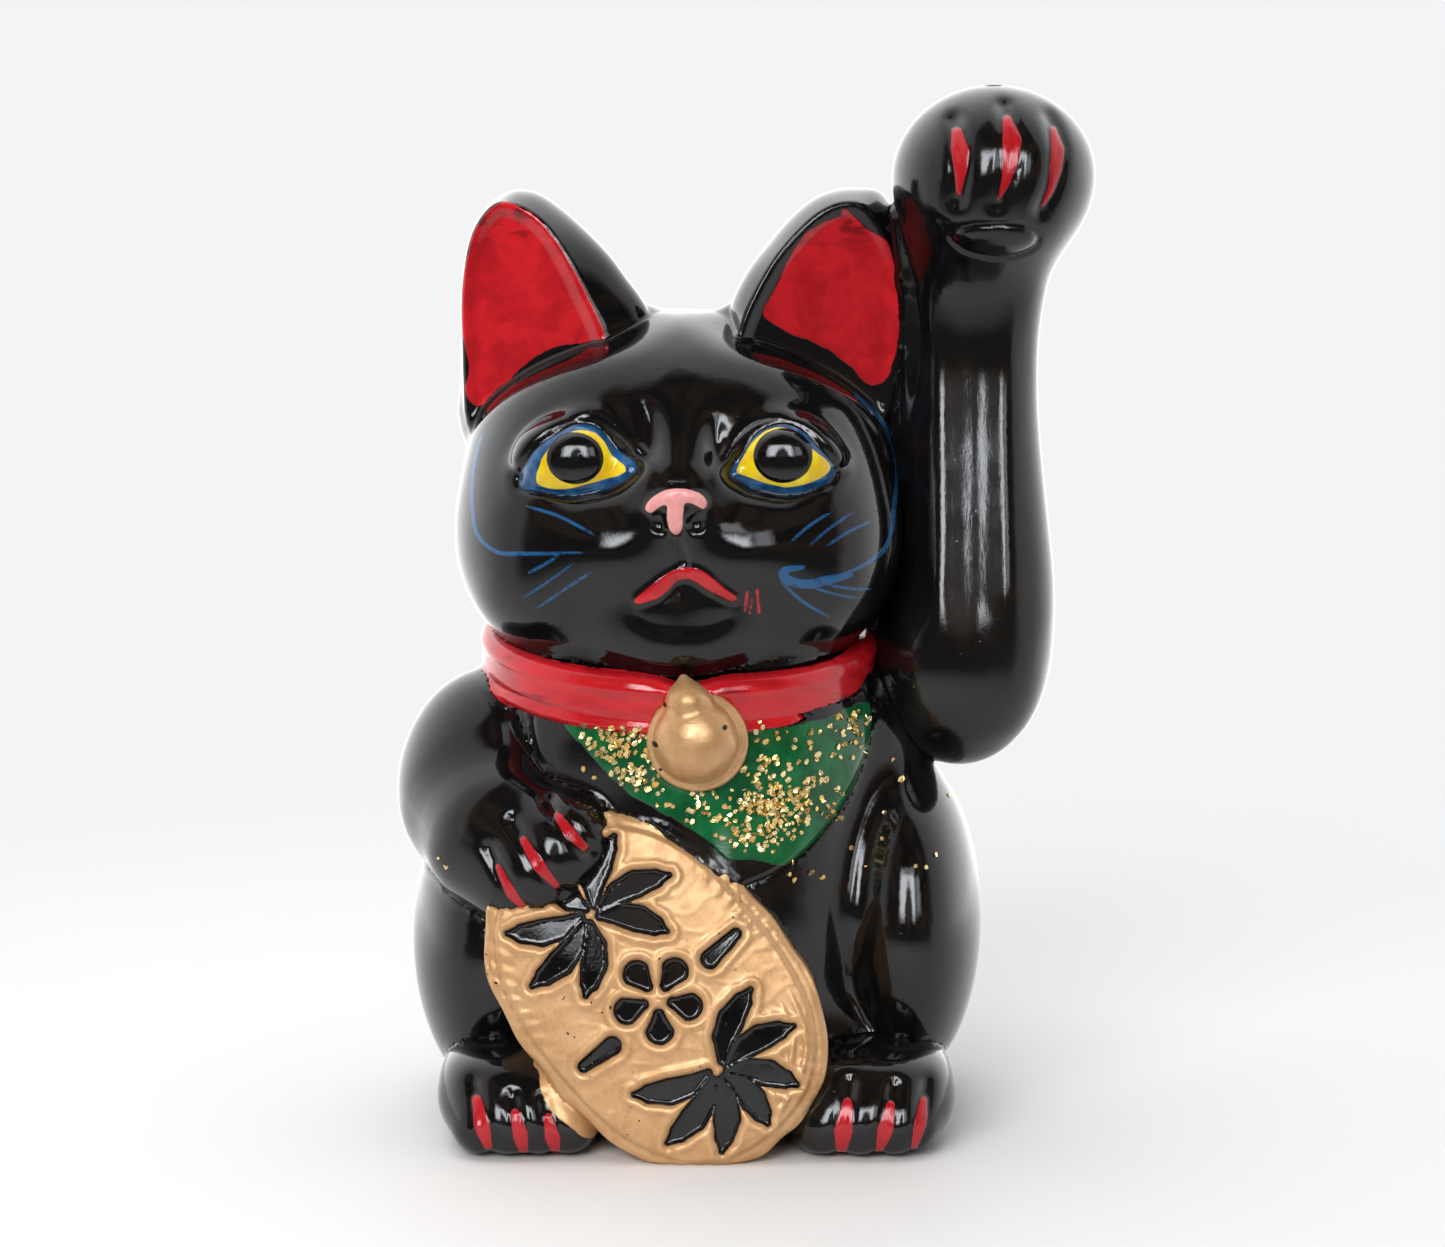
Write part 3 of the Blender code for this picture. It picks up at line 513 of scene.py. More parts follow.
def collar(p):
    q = (p - V(-2.1, -1.5, 81.2)) @ rot("x", 8.5) @ rot("y", 1.5)
    front = (q[:, 1] < 0)
    r = norm(q[:, :2] / V(31.6, 27.6))
    rad = norm(q[:, :2]) * (1 - 1 / np.maximum(r, 1e-3))
    # the upper edge dips in a V over the bell, and the band is fuller below
    top = q[:, 2] + 1.5 * bell_curve(q[:, 0] - 1.5, 4.6) * front * (q[:, 2] > 0)
    w = np.maximum(np.abs(rad) - 1.0, 0); z = np.maximum(np.abs(top) - 3.5, 0)
    d = np.sqrt(w * w + z * z) - 1.7
    return d - (0.35 * bell_curve(q[:, 2] - 2.9, 0.9) + 0.3 * bell_curve(q[:, 2] + 3.6, 0.8)) * (rad > 0) + 0.25 * bell_curve(q[:, 2] + 2.3, 0.6) * (rad > 0)


def bib(p):
    d2 = np.sqrt((p[:, 0] - 2) ** 2 + (p[:, 2] - 75) ** 2) - 29.5
    return smax(smax(d2, torso(p) - 1.5, 1.6), p[:, 1] + 3.0, 1.0)


def bell(p):
    d = ell(p, (1.0, -31.6, 71.8), (7.3, 6.6, 7.4))
    q = p - V(1.3, -31.3, 71.4)
    ring = np.sqrt((np.sqrt(q[:, 0] ** 2 + q[:, 2] ** 2) - 7.7) ** 2 + (q[:, 1] * 0.8) ** 2) - 0.85
    d = smin(d, ring, 0.8)
    d = smin(d, ell(p, (-0.3, -32.6, 78.4), (3.7, 3.9, 3.4)), 1.0)
    d = smin(d, rcone(p, (-0.6, -32.0, 79.4), (-1.0, -31.4, 82.0), 2.4, 0.9), 1.2)
    return smin(d, ell(p, (2.7, -33.4, 77.9), (1.0, 1.4, 1.7)), 0.8)


def tail(p):
    return chain(p, [((12.0, 34.0, 7.2), 6.4), ((3.0, 38.0, 9.0), 6.4), ((-6.0, 38.5, 14.0), 6.2), ((-11.0, 37.5, 22.0), 5.8), ((-11.5, 36.0, 29.0), 5.0)], 4.0)


def culled(fn, lo, hi, m=7.0):
    lo, hi = V(*lo) - F32(m), V(*hi) + F32(m)

    def f(p):
        far = np.maximum(np.maximum(lo - p, p - hi), 0)
        out = (norm(far) + m).astype(F32)
        near = far.max(1) <= 0
        if near.any():
            out[near] = fn(p[near])
        return out
    return f


BOXES = {
    "torso_shell": ((-50, -34, 0), (52, 40, 93)),
    "head_shell": ((-42, -38, 78), (39, 33, 162.5)),
    "raised_arm_shell": ((28, -24, 60), (71, 18, 181.5)),
    "coin_arm": ((-52, -39, 36), (-8, 15, 81)),
    "left_foot": ((13, -39.5, 0), (46, -2, 20.5)),
    "right_foot": ((-45, -39.5, 0), (-12, -2, 20.5)),
    "koban_plaque": ((-38, -44, -2), (27, -16, 63)),
    "collar_band": ((-37, -33, 68), (34, 30, 93)),
    "bib": ((-29, -36, 44), (33, 0, 90)),
    "bell": ((-9, -40, 61), (11, -22, 84)),
    "tail": ((-19, 26, -1), (20, 46, 35)),
}
FORMS = {
    "torso_shell": torso, "head_shell": head, "raised_arm_shell": raised_arm, "coin_arm": coin_arm,
    "left_foot": lambda p: foot(p, 1), "right_foot": lambda p: foot(p, -1), "koban_plaque": koban,
    "collar_band": collar, "bib": bib, "bell": bell, "tail": tail,
}
FIELD = {n: culled(FORMS[n], *BOXES[n]) for n in FORMS}
ORDER = [("torso_shell", 0), ("head_shell", 1.0), ("raised_arm_shell", 0.8), ("bib", 0.5), ("collar_band", 0.4), ("coin_arm", 1.8),
         ("left_foot", 1.1), ("right_foot", 1.1), ("koban_plaque", 0.5), ("bell", 0.4), ("tail", 1.6)]
THIN = {"bib": 0.8}             # skins on the body: how far they reach below its surface


def all_fields(p):
    return {n: FIELD[n](p) for n, _ in ORDER}


def union(d):
    f = None
    for n, k in ORDER:
        e = d[n]
        if n == "koban_plaque":
            e = smax(e, -(d["coin_arm"] - 0.2), 0.6)
        f = e if f is None else smin(f, e, k)
    return f


def ownership(d, name):
    """Negative where the piece owns the clay."""
    def own(n):
        e = d[n]
        if n == "koban_plaque":
            e = np.maximum(e, -(d["coin_arm"] - 0.1))
        if n in THIN:
            e = np.maximum(e, -(d["torso_shell"] + THIN[n]) * 2)
        return e
    others = np.minimum.reduce([own(n) for n, _ in ORDER if n != name])
    return (own(name) - others) * 0.5 + 0.012


def torso_hollow(p, d):
    x, y = p[:, 0], p[:, 1] - 6.0
    r = np.sqrt(x * x + y * y)
    hole = np.maximum(r - 8.5, p[:, 2] - 12)
    seat = np.maximum(r - 11.5, p[:, 2] - 2.4)
    inner = np.maximum(d["torso_shell"] + 4.0, 4.0 - p[:, 2])
    return np.minimum(np.minimum(hole, seat), inner)


def piece_fields(name):
    def both(p):
        d = all_fields(p)
        f, g = union(d), ownership(d, name)
        if name == "torso_shell":
            f = np.maximum(f, -torso_hollow(p, d))
        return f, g
    return both


# -------------------------------------------------------------------- meshing
def surface_nets(f, lo, hi, h, lip=1.6):
    """Quads on f = 0 between lo and hi, cell size h; f is only worked out near the surface."""
    lo = np.array(lo, float); n = (np.ceil((np.array(hi, float) - lo) / h / 8).astype(int)) * 8 + 1
    grid = np.full(n, np.nan, F32)
    stp = 8
    idx = np.stack(np.meshgrid(*[np.arange(0, n[i], stp) for i in range(3)], indexing="ij"), -1).reshape(-1, 3)

    def ev(ix):
        out = np.empty(len(ix), F32)
        for s in range(0, len(ix), 300000):
            out[s:s + 300000] = f((lo + ix[s:s + 300000] * h).astype(F32))
        return out
    grid[idx[:, 0], idx[:, 1], idx[:, 2]] = ev(idx)
    while stp > 1:
        c = grid[::stp, ::stp, ::stp]
        corners = [c[i:c.shape[0] - 1 + i, j:c.shape[1] - 1 + j, k:c.shape[2] - 1 + k] for i in (0, 1) for j in (0, 1) for k in (0, 1)]
        mn = np.minimum.reduce([np.abs(x) for x in corners])
        sg = np.minimum.reduce(corners) * np.maximum.reduce(corners) < 0
        near = (mn < stp * h * lip) | sg
        half = stp // 2
        fine = np.zeros([2 * (s - 1) + 1 for s in c.shape], bool)
        for i in (0, 1, 2):
            for j in (0, 1, 2):
                for k in (0, 1, 2):
                    fine[i:i + 2 * near.shape[0]:2, j:j + 2 * near.shape[1]:2, k:k + 2 * near.shape[2]:2] |= near
        g = grid[::half, ::half, ::half]
        up = np.repeat(np.repeat(np.repeat(c, 2, 0), 2, 1), 2, 2)[:g.shape[0], :g.shape[1], :g.shape[2]]
        unknown = np.isnan(g)
        g[unknown] = up[unknown]
        todo = np.argwhere(fine & unknown)
        if len(todo):
            g[todo[:, 0], todo[:, 1], todo[:, 2]] = ev(todo * half)
        stp = half
    inside = grid < 0
    nx, ny, nz = n
    s8 = [inside[i:nx - 1 + i, j:ny - 1 + j, k:nz - 1 + k] for i in (0, 1) for j in (0, 1) for k in (0, 1)]
    cells = np.argwhere(np.logical_or.reduce(s8) & ~np.logical_and.reduce(s8))
    vid = np.full((nx - 1, ny - 1, nz - 1), -1, np.int32)
    vid[cells[:, 0], cells[:, 1], cells[:, 2]] = np.arange(len(cells))
    cv = {(i, j, k): grid[cells[:, 0] + i, cells[:, 1] + j, cells[:, 2] + k].astype(float)
          for i in (0, 1) for j in (0, 1) for k in (0, 1)}
    acc = np.zeros((len(cells), 3)); cnt = np.zeros(len(cells))
    for a in cv:
        for d in range(3):
            if a[d] == 0:
                b = list(a); b[d] = 1
                fa, fb = cv[a], cv[tuple(b)]
                m = (fa < 0) != (fb < 0)
                pt = np.tile(np.array(a, float), (m.sum(), 1)); pt[:, d] += fa[m] / (fa[m] - fb[m])
                acc[m] += pt; cnt[m] += 1
    verts = lo + (cells + acc / cnt[:, None]) * h
    faces = []
    for d in range(3):
        e, g2 = [(1, 2), (2, 0), (0, 1)][d]
        sl0 = [slice(1, -1)] * 3; sl0[d] = slice(0, -1)
        sl1 = [slice(1, -1)] * 3; sl1[d] = slice(1, None)
        A = inside[tuple(sl0)]; B = inside[tuple(sl1)]
        for flip, m in ((False, A & ~B), (True, B & ~A)):
            q = np.argwhere(m)
            if not len(q):
                continue
            q = q + 1; q[:, d] -= 1
            de = np.zeros(3, int); de[e] = 1
            dg = np.zeros(3, int); dg[g2] = 1
            quad = np.stack([vid[tuple(c.T)] for c in (q - de - dg, q - dg, q, q - de)], 1)
            faces.append(quad[:, ::-1] if flip else quad)
    return verts, np.concatenate(faces)


def settle(both, v, h, steps=3):
    """Moves points onto the surface, and those by a joint line onto the line itself."""
    v = v.copy()
    for _ in range(steps):
        e = 0.04
        gf = np.empty((len(v), 3)); gg = np.empty((len(v), 3))
        for d in range(3):
            o = np.zeros(3, F32); o[d] = e
            fa, ga = both((v + o).astype(F32)); fb, gb = both((v - o).astype(F32))
            gf[:, d] = (fa.astype(float) - fb) / (2 * e); gg[:, d] = (ga.astype(float) - gb) / (2 * e)
        f, g = (a.astype(float) for a in both(v.astype(F32)))
        ff = np.maximum((gf * gf).sum(1), 0.2); g2 = np.maximum((gg * gg).sum(1), 0.05); fg = (gf * gg).sum(1)
        df = f / np.sqrt(ff); dg = g / np.sqrt(g2)
        mv = np.where((df > dg)[:, None], gf * (f / ff)[:, None], gg * (g / g2)[:, None])
        det = ff * g2 - fg * fg
        edge = (np.abs(df) < 0.55 * h) & (np.abs(dg) < 0.55 * h) & (det > 0.12 * ff * g2)
        if edge.any():
            a = (f * g2 - g * fg)[edge] / det[edge]; b = (g * ff - f * fg)[edge] / det[edge]
            mv[edge] = gf[edge] * a[:, None] + gg[edge] * b[:, None]
        size = np.sqrt((mv * mv).sum(1))
        v -= mv * np.minimum(1, 0.4 * h / np.maximum(size, 1e-9))[:, None]
    return v


def to_row(v):
    return (np.asarray(v, float) - ORIGIN) * 0.001


def make_object(name, v, faces, attrs=None):
    mesh = bpy.data.meshes.new(name)
    mesh.vertices.add(len(v))
    mesh.vertices.foreach_set("co", to_row(v).astype(np.float32).ravel())
    k = faces.shape[1]
    mesh.loops.add(len(faces) * k)
    mesh.loops.foreach_set("vertex_index", faces.astype(np.int32).ravel())
    mesh.polygons.add(len(faces))
    mesh.polygons.foreach_set("loop_start", np.arange(0, len(faces) * k, k, dtype=np.int32))
    mesh.polygons.foreach_set("loop_total", np.full(len(faces), k, np.int32))
    mesh.update()
    mesh.validate()
    for a, values in (attrs or {}).items():
        mesh.attributes.new(a, "FLOAT", "POINT").data.foreach_set("value", np.asarray(values, np.float32))
    obj = bpy.data.objects.new(name, mesh)
    bpy.context.scene.collection.objects.link(obj)
    return obj


CELL = {"torso_shell": 0.75, "head_shell": 0.42, "raised_arm_shell": 0.55, "coin_arm": 0.5, "left_foot": 0.45, "right_foot": 0.45,
        "koban_plaque": 0.36, "collar_band": 0.42, "bib": 0.42, "bell": 0.3, "tail": 0.6}


def build_piece(name):
    h = CELL[name] * FINE
    both = piece_fields(name)
    lo, hi = BOXES[name]
    verts, quads = surface_nets(lambda p: np.maximum(*both(p)), np.array(lo) - 1.5, np.array(hi) + 1.5, h)
    # keep the one connected body
    parent = np.arange(len(verts))
    ends = np.concatenate([quads[:, [0, 1]], quads[:, [1, 2]], quads[:, [2, 3]], quads[:, [3, 0]]])
    while True:
        low = np.minimum(parent[ends[:, 0]], parent[ends[:, 1]])
        new = parent.copy()
        np.minimum.at(new, ends[:, 0], low); np.minimum.at(new, ends[:, 1], low)
        new = new[new]
        if (new == parent).all():
            break
        parent = new
    label, count = np.unique(parent, return_counts=True)
    big = label[count.argmax()]
    keep = parent == big
    if name == "torso_shell":                       # its hollow's wall joins the outside through the drain hole
        keep = np.isin(parent, label[count > 2000])
    index = np.cumsum(keep) - 1
    quads = index[quads[keep[quads[:, 0]]]]
    verts = settle(both, verts[keep], h)
    return verts, quads


def paint_fields(name, v):
    """Signed distances to each painted area, in millimetres, and other masks."""
    P = v[:, [0, 2]].astype(F32)
    out = {}
    if name == "head_shell":
        q = v.astype(F32); q[:, 0] = np.abs(q[:, 0] - HX)
        brow = smin(sell(v.astype(F32), HC, (37.4, 31.0, 31.0), 2.25), ell(q, CHEEK, CHEEK_R), 8.0)
        brow = smax(brow, -rcone(q, *BROW), 9.0)
        # the red stays on the ear's front and laps a little way over its edge
        lap = v[:, 1] + 5.0 - 0.31 * (np.abs(v[:, 0] - HX) - 29.0) + 0.055 * (v[:, 2] - 140.0)
        out["ear"] = np.maximum(np.minimum(area2(P, EAR_R), area2(P, EAR_L)), np.maximum(lap - 1.9, 0.55 - brow))
        front = v[:, 1] < -6
        out["eye"] = np.where(front, np.minimum(area2(P, EYE_R), area2(P, EYE_L)), 6)
        out["yellow"] = np.where(front, np.minimum(area2(P, YELLOW_R), area2(P, YELLOW_L)), 6)
        pup = np.full(len(v), 9.0)
        for (cx, cz), (rx, rz) in (PUPIL_R, PUPIL_L):
            k = np.sqrt(((P[:, 0] - cx) / rx) ** 2 + ((P[:, 1] - cz) / rz) ** 2)
            pup = np.minimum(pup, (k - 1) * (rx + rz) / 2)
        out["pupil"] = np.where(front, pup, 6)
        out["nose"] = np.where(front, area2(P, NOSE), 6)
        lips = area2(P, LIPS)
        for pts, w in SCRATCHES:
            lips = np.minimum(lips, line2(P, np.array(pts, F32)) - w)
        out["lips"] = np.where(front, lips, 6)
        wh = np.full(len(v), 6.0)
        for pts, w in WHISKERS:
            c = spline(pts)
            t = np.linspace(0, 1, len(c))
            wide = w * (0.35 + 0.65 * np.minimum(1, 4 * np.minimum(t + 0.05, 1.02 - t)))
            wh = np.minimum(wh, stroke2(P, np.column_stack([c, wide])))
        out["whisker"] = np.where(v[:, 1] < 0, wh, 6)
    if name == "raised_arm_shell":
        out["claw"] = np.where(v[:, 1] < -8, np.minimum.reduce([stroke2(P, c) for c in PAW_CLAWS]), 6)
    if name == "coin_arm":
        out["claw"] = np.where(v[:, 1] < -20, np.minimum.reduce([stroke2(P, c) for c in COIN_CLAWS]), 6)
    if name in ("left_foot", "right_foot"):
        side = 1 if name == "left_foot" else -1
        out["claw"] = np.where(v[:, 1] < -18, np.minimum.reduce([stroke2(P, c) for c in FOOT_CLAWS[side]]), 6)
        if side < 0:
            out["lobe"] = np.where(v[:, 1] < -14, area2(P, LOBE), 6)
    if name == "koban_plaque":
        q, k, edge = koban_frame(v.astype(F32))
        out["motif"] = np.where(q[:, 1] < 0, motif(q[:, [0, 2]]), 6)
        out["rim"] = edge
    if name == "bib":
        out["green"] = np.where(v[:, 1] < -4, area2(P, BIB), 6)
    return out


# ------------------------------------------------------------------ materials
class Graph:
    """A small hand for node materials."""

    def __init__(self, name):
        self.material = bpy.data.materials.new(name)
        self.material.use_nodes = True
        self.tree = self.material.node_tree
        self.tree.nodes.clear()
        self.out = self.tree.nodes.new("ShaderNodeOutputMaterial")
        self.coord = self.tree.nodes.new("ShaderNodeTexCoord").outputs["Object"]

    def put(self, socket, value):
        if isinstance(value, bpy.types.NodeSocket):
            self.tree.links.new(value, socket)
        elif value is not None:
            if isinstance(value, (tuple, list)) and len(value) == 3 and socket.type == "RGBA":
                value = (*value, 1.0)
            socket.default_value = value

    def node(self, kind, **props):
        n = self.tree.nodes.new(kind)
        for k, v in props.items():
            setattr(n, k, v)
        return n

    def attr(self, name):
        n = self.node("ShaderNodeAttribute")
        n.attribute_name = name
        return n.outputs["Fac"]

    def math(self, op, a, b=None, c=None):
        n = self.node("ShaderNodeMath", operation=op)
        for i, x in enumerate((a, b, c)):
            if x is not None:
                self.put(n.inputs[i], x)
        return n.outputs[0]

    def noise(self, scale_mm, detail=2.0, rough=0.5, distortion=0.0, stretch=None, seed=0.0):
        n = self.node("ShaderNodeTexNoise")
        at = self.coord
        m = self.node("ShaderNodeMapping")
        self.put(m.inputs["Vector"], at)
        m.inputs["Location"].default_value = (seed, seed * 1.7, seed * 0.6)
        if stretch:
            m.inputs["Scale"].default_value = stretch
        self.put(n.inputs["Vector"], m.outputs[0])
        n.inputs["Scale"].default_value = 1000.0 / scale_mm
        n.inputs["Detail"].default_value = detail
        n.inputs["Roughness"].default_value = rough
        n.inputs["Distortion"].default_value = distortion
        return n.outputs["Fac"]

    def ramp(self, x, lo, hi, a=0.0, b=1.0, smooth=True):
        n = self.node("ShaderNodeMapRange", interpolation_type="SMOOTHSTEP" if smooth else "LINEAR")
        for k, v in (("Value", x), ("From Min", lo), ("From Max", hi), ("To Min", a), ("To Max", b)):
            self.put(n.inputs[k], v)
        return n.outputs[0]

    def mix(self, fac, a, b):
        n = self.node("ShaderNodeMix", data_type="RGBA")
        self.put(n.inputs[0], fac)
        self.put(n.inputs[6], a)
        self.put(n.inputs[7], b)
        return n.outputs[2]

    def edge(self, attr, width=0.14, wobble=0.25, grow=0.0, seed=0.0):
        """1 inside a painted area, with a slightly unsteady hand-painted edge."""
        d = self.attr(attr)
        w = self.noise(2.2, 2.0, seed=seed)
        d = self.math("ADD", d, self.math("MULTIPLY", self.math("SUBTRACT", w, 0.5), wobble * 2))
        return self.ramp(d, grow + width, grow - width)

    def bump(self, height, distance, normal=None, strength=1.0):
        n = self.node("ShaderNodeBump")
        n.inputs["Strength"].default_value = strength
        n.inputs["Distance"].default_value = distance
        self.put(n.inputs["Height"], height)
        if normal is not None:
            self.put(n.inputs["Normal"], normal)
        return n.outputs[0]

    def finish(self, color, rough, metallic=0.0, normal=None, coat=0.0, coat_rough=0.05, ior=1.5, specular=0.5):
        s = self.node("ShaderNodeBsdfPrincipled")
        self.put(s.inputs["Base Color"], color)
        self.put(s.inputs["Roughness"], rough)
        self.put(s.inputs["Metallic"], metallic)
        self.put(s.inputs["IOR"], ior)
        self.put(s.inputs["Specular IOR Level"], specular)
        self.put(s.inputs["Coat Weight"], coat)
        self.put(s.inputs["Coat Roughness"], coat_rough)
        if normal is not None:
            self.put(s.inputs["Normal"], normal)
        self.tree.links.new(s.outputs[0], self.out.inputs["Surface"])
        return self.material


BLACK = (0.0042, 0.0040, 0.0042)
RED = (0.62, 0.014, 0.021)
RED_DEEP = (0.44, 0.008, 0.014)
CLAW = (0.40, 0.007, 0.014)
GREEN = (0.006, 0.125, 0.036)
BLUE = (0.010, 0.085, 0.22)
YELLOW = (0.93, 0.72, 0.012)
PINK = (0.86, 0.40, 0.38)
GOLD = (0.66, 0.405, 0.19)


def lacquer_surface(g, extra=None, amount=0.5, brushed=0.0):
    """Fine grain, orange peel and slow waves of a thick brushed gloss coat."""
    grain = g.noise(0.5, 1.0, 0.5, seed=2.0)
    peel = g.noise(1.9, 1.0, 0.4)
    wave = g.noise(7.0, 1.0, 0.4, seed=3.0)
    grit = g.ramp(g.noise(0.9, 0.0, seed=8.0), 0.80, 0.86)
    h = g.math("ADD", g.math("MULTIPLY", peel, 0.20), g.math("MULTIPLY", wave, 1.1))
    h = g.math("ADD", h, g.math("MULTIPLY", grain, 0.10))
    h = g.math("ADD", h, g.math("MULTIPLY", grit, 0.18))
    if brushed:
        h = g.math("ADD", h, g.math("MULTIPLY", g.noise(1.5, 3.0, 0.65, stretch=(1.0, 1.0, 0.10), seed=17.0), brushed))
    if extra is not None:
        h = g.math("ADD", h, extra)
    return g.bump(h, 0.00006 * amount * 2)


def black_color(g):
    thin = g.ramp(g.noise(14.0, 3.0, 0.6, seed=5.0), 0.45, 0.75)
    return g.mix(thin, BLACK, (0.0075, 0.0062, 0.0055))


def red_paint(g, seed=0.0, stretch=None):
    a = g.noise(7.0, 3.0, 0.6, 0.6, stretch=stretch, seed=seed)
    b = g.noise(2.4, 2.0, 0.6, stretch=stretch, seed=seed + 4)
    t = g.ramp(g.math("ADD", g.math("MULTIPLY", a, 0.75), g.math("MULTIPLY", b, 0.25)), 0.36, 0.62)
    return g.mix(t, RED_DEEP, RED)


def black_material(name, claw=False, lobe=False, brushed=0.0):
    g = Graph(name)
    color = black_color(g)
    rough = g.ramp(g.noise(5.0, 2.0, seed=2.0), 0.3, 0.75, 0.045, 0.10)
    extra = None
    if claw:
        m = g.edge("claw", 0.10, 0.16)
        streak = g.noise(1.2, 2.0, stretch=(3.0, 1.0, 0.5), seed=6.0)
        m = g.math("MULTIPLY", m, g.ramp(streak, 0.22, 0.4, 0.55, 1.0))
        color = g.mix(m, color, g.mix(streak, CLAW, RED_DEEP))
        extra = g.math("MULTIPLY", m, 0.6)
        rough = g.math("ADD", rough, g.math("MULTIPLY", m, 0.10))
    metal = 0.0
    if brushed:
        rough = g.math("ADD", rough, 0.05)
    if lobe:
        m = g.edge("lobe", 0.12, 0.2, seed=3.0)
        color = g.mix(m, color, gold_color(g))
        rough = g.math("ADD", rough, g.math("MULTIPLY", m, 0.30))
        metal = g.math("MULTIPLY", m, 0.35)
    return g.finish(color, rough, metal, normal=lacquer_surface(g, extra, brushed=brushed))


def head_material():
    g = Graph("head_paint")
    color = black_color(g)
    rough = g.ramp(g.noise(5.0, 2.0, seed=2.0), 0.3, 0.75, 0.045, 0.10)
    layers = None

    def lay(mask, tint, r=0.10, thick=0.6):
        nonlocal color, rough, layers
        color = g.mix(mask, color, tint)
        rough = g.math("ADD", g.math("MULTIPLY", rough, g.math("SUBTRACT", 1.0, mask)), g.math("MULTIPLY", mask, r))
        t = g.math("MULTIPLY", mask, thick)
        layers = t if layers is None else g.math("MAXIMUM", layers, t)
    ear = g.edge("ear", 0.16, 0.3, seed=1.0)
    sep = g.node("ShaderNodeSeparateXYZ"); g.put(sep.inputs[0], g.coord)
    smudge = g.math("MULTIPLY", g.ramp(sep.outputs[2], 0.150, 0.157), g.ramp(g.noise(2.6, 3.0, stretch=(0.6, 1, 1.6), seed=7.0), 0.5, 0.66))
    ears = g.mix(g.math("MULTIPLY", smudge, 0.65), red_paint(g, 1.0), (0.05, 0.004, 0.006))
    lay(ear, ears, 0.12)
    blue = g.mix(g.ramp(g.noise(2.0, 2.0, seed=4.0), 0.35, 0.7), (0.006, 0.05, 0.15), (0.012, 0.11, 0.27))
    lay(g.edge("eye", 0.12, 0.22, seed=2.0), blue, 0.13)
    yel = g.mix(g.ramp(g.noise(3.0, 2.0, seed=9.0), 0.35, 0.7), (0.78, 0.50, 0.008), YELLOW)
    lay(g.edge("yellow", 0.10, 0.16, seed=3.0), yel, 0.13)
    lay(g.edge("pupil", 0.10, 0.10, seed=5.0), BLACK, 0.03, 1.2)
    pink = g.mix(g.ramp(g.noise(1.8, 2.0, seed=3.0), 0.3, 0.7), (0.80, 0.33, 0.32), PINK)
    lay(g.edge("nose", 0.10, 0.10, seed=6.0), pink, 0.2)
    lips = g.edge("lips", 0.12, 0.16, seed=7.0)
    lay(lips, red_paint(g, 5.0), 0.12)
    dry = g.ramp(g.noise(1.4, 2.0, seed=12.0), 0.25, 0.5, 0.35, 0.95)
    lay(g.math("MULTIPLY", g.edge("whisker", 0.14, 0.06, seed=8.0), dry), (0.012, 0.10, 0.26), 0.16, 0.35)
    return g.finish(color, rough, normal=lacquer_surface(g, layers))


def collar_material():
    g = Graph("collar_paint")
    color = red_paint(g, 3.0, (0.5, 0.5, 1.5))
    sep = g.node("ShaderNodeSeparateXYZ"); g.put(sep.inputs[0], g.coord)
    dark = g.ramp(g.noise(5.0, 3.0, stretch=(0.35, 0.35, 2.2), seed=6.0), 0.60, 0.74)
    color = g.mix(g.math("MULTIPLY", dark, 0.6), color, (0.10, 0.006, 0.012))
    rough = g.ramp(g.noise(4.0, 2.0, seed=2.0), 0.3, 0.75, 0.07, 0.15)
    brush = g.noise(1.3, 2.0, stretch=(0.3, 0.3, 1.8), seed=11.0)
    return g.finish(color, rough, normal=lacquer_surface(g, g.math("MULTIPLY", brush, 0.35), 0.6))


def bib_material():
    g = Graph("bib_paint")
    m = g.edge("green", 0.2, 0.45, seed=4.0)
    tone = g.ramp(g.noise(6.0, 3.0, 0.6, seed=8.0), 0.35, 0.7)
    green = g.mix(tone, (0.004, 0.075, 0.022), (0.008, 0.16, 0.05))
    color = g.mix(m, black_color(g), green)
    rough = g.ramp(g.noise(4.0, 2.0, seed=2.0), 0.3, 0.75, 0.06, 0.13)
    return g.finish(color, rough, normal=lacquer_surface(g, g.math("MULTIPLY", m, 0.7), 0.6))


def gold_color(g):
    t = g.ramp(g.noise(5.0, 3.0, 0.6, seed=2.0), 0.3, 0.75)
    c = g.mix(t, (0.50, 0.275, 0.118), (0.62, 0.37, 0.18))
    fine = g.ramp(g.noise(0.7, 2.0, 0.7, seed=4.0), 0.3, 0.8)
    return g.mix(g.math("MULTIPLY", fine, 0.22), c, (0.74, 0.49, 0.26))


def koban_material():
    g = Graph("koban_paint")
    gold = gold_color(g)
    # painted shade: the gold is darkened in the hollows, where shade falls
    geo = g.node("ShaderNodeNewGeometry")
    hollow = g.ramp(geo.outputs["Pointiness"], 0.49, 0.44)
    gold = g.mix(g.math("MULTIPLY", hollow, 0.55), gold, (0.20, 0.105, 0.045))
    speck = g.math("MULTIPLY", g.ramp(g.noise(1.15, 1.0, seed=21.0), 0.735, 0.755), g.ramp(g.noise(9.0, 1.0, seed=5.0), 0.5, 0.6))
    gold = g.mix(speck, gold, BLACK)
    m = g.edge("motif", 0.12, 0.22, grow=0.1, seed=9.0)
    color = g.mix(m, gold, BLACK)
    keep = g.math("SUBTRACT", 1.0, m)
    rough = g.math("ADD", g.math("MULTIPLY", keep, g.ramp(g.noise(2.0, 2.0, seed=2.0), 0.3, 0.75, 0.36, 0.50)), g.math("MULTIPLY", m, 0.06))
    metal = g.math("MULTIPLY", keep, 0.38)
    brush = g.noise(0.9, 2.0, 0.6, stretch=(1.5, 1.0, 0.5), seed=14.0)
    h = g.math("ADD", g.math("MULTIPLY", brush, g.math("MULTIPLY", keep, 0.8)), g.math("MULTIPLY", m, 0.9))
    return g.finish(color, rough, metal, normal=lacquer_surface(g, h, 0.6))


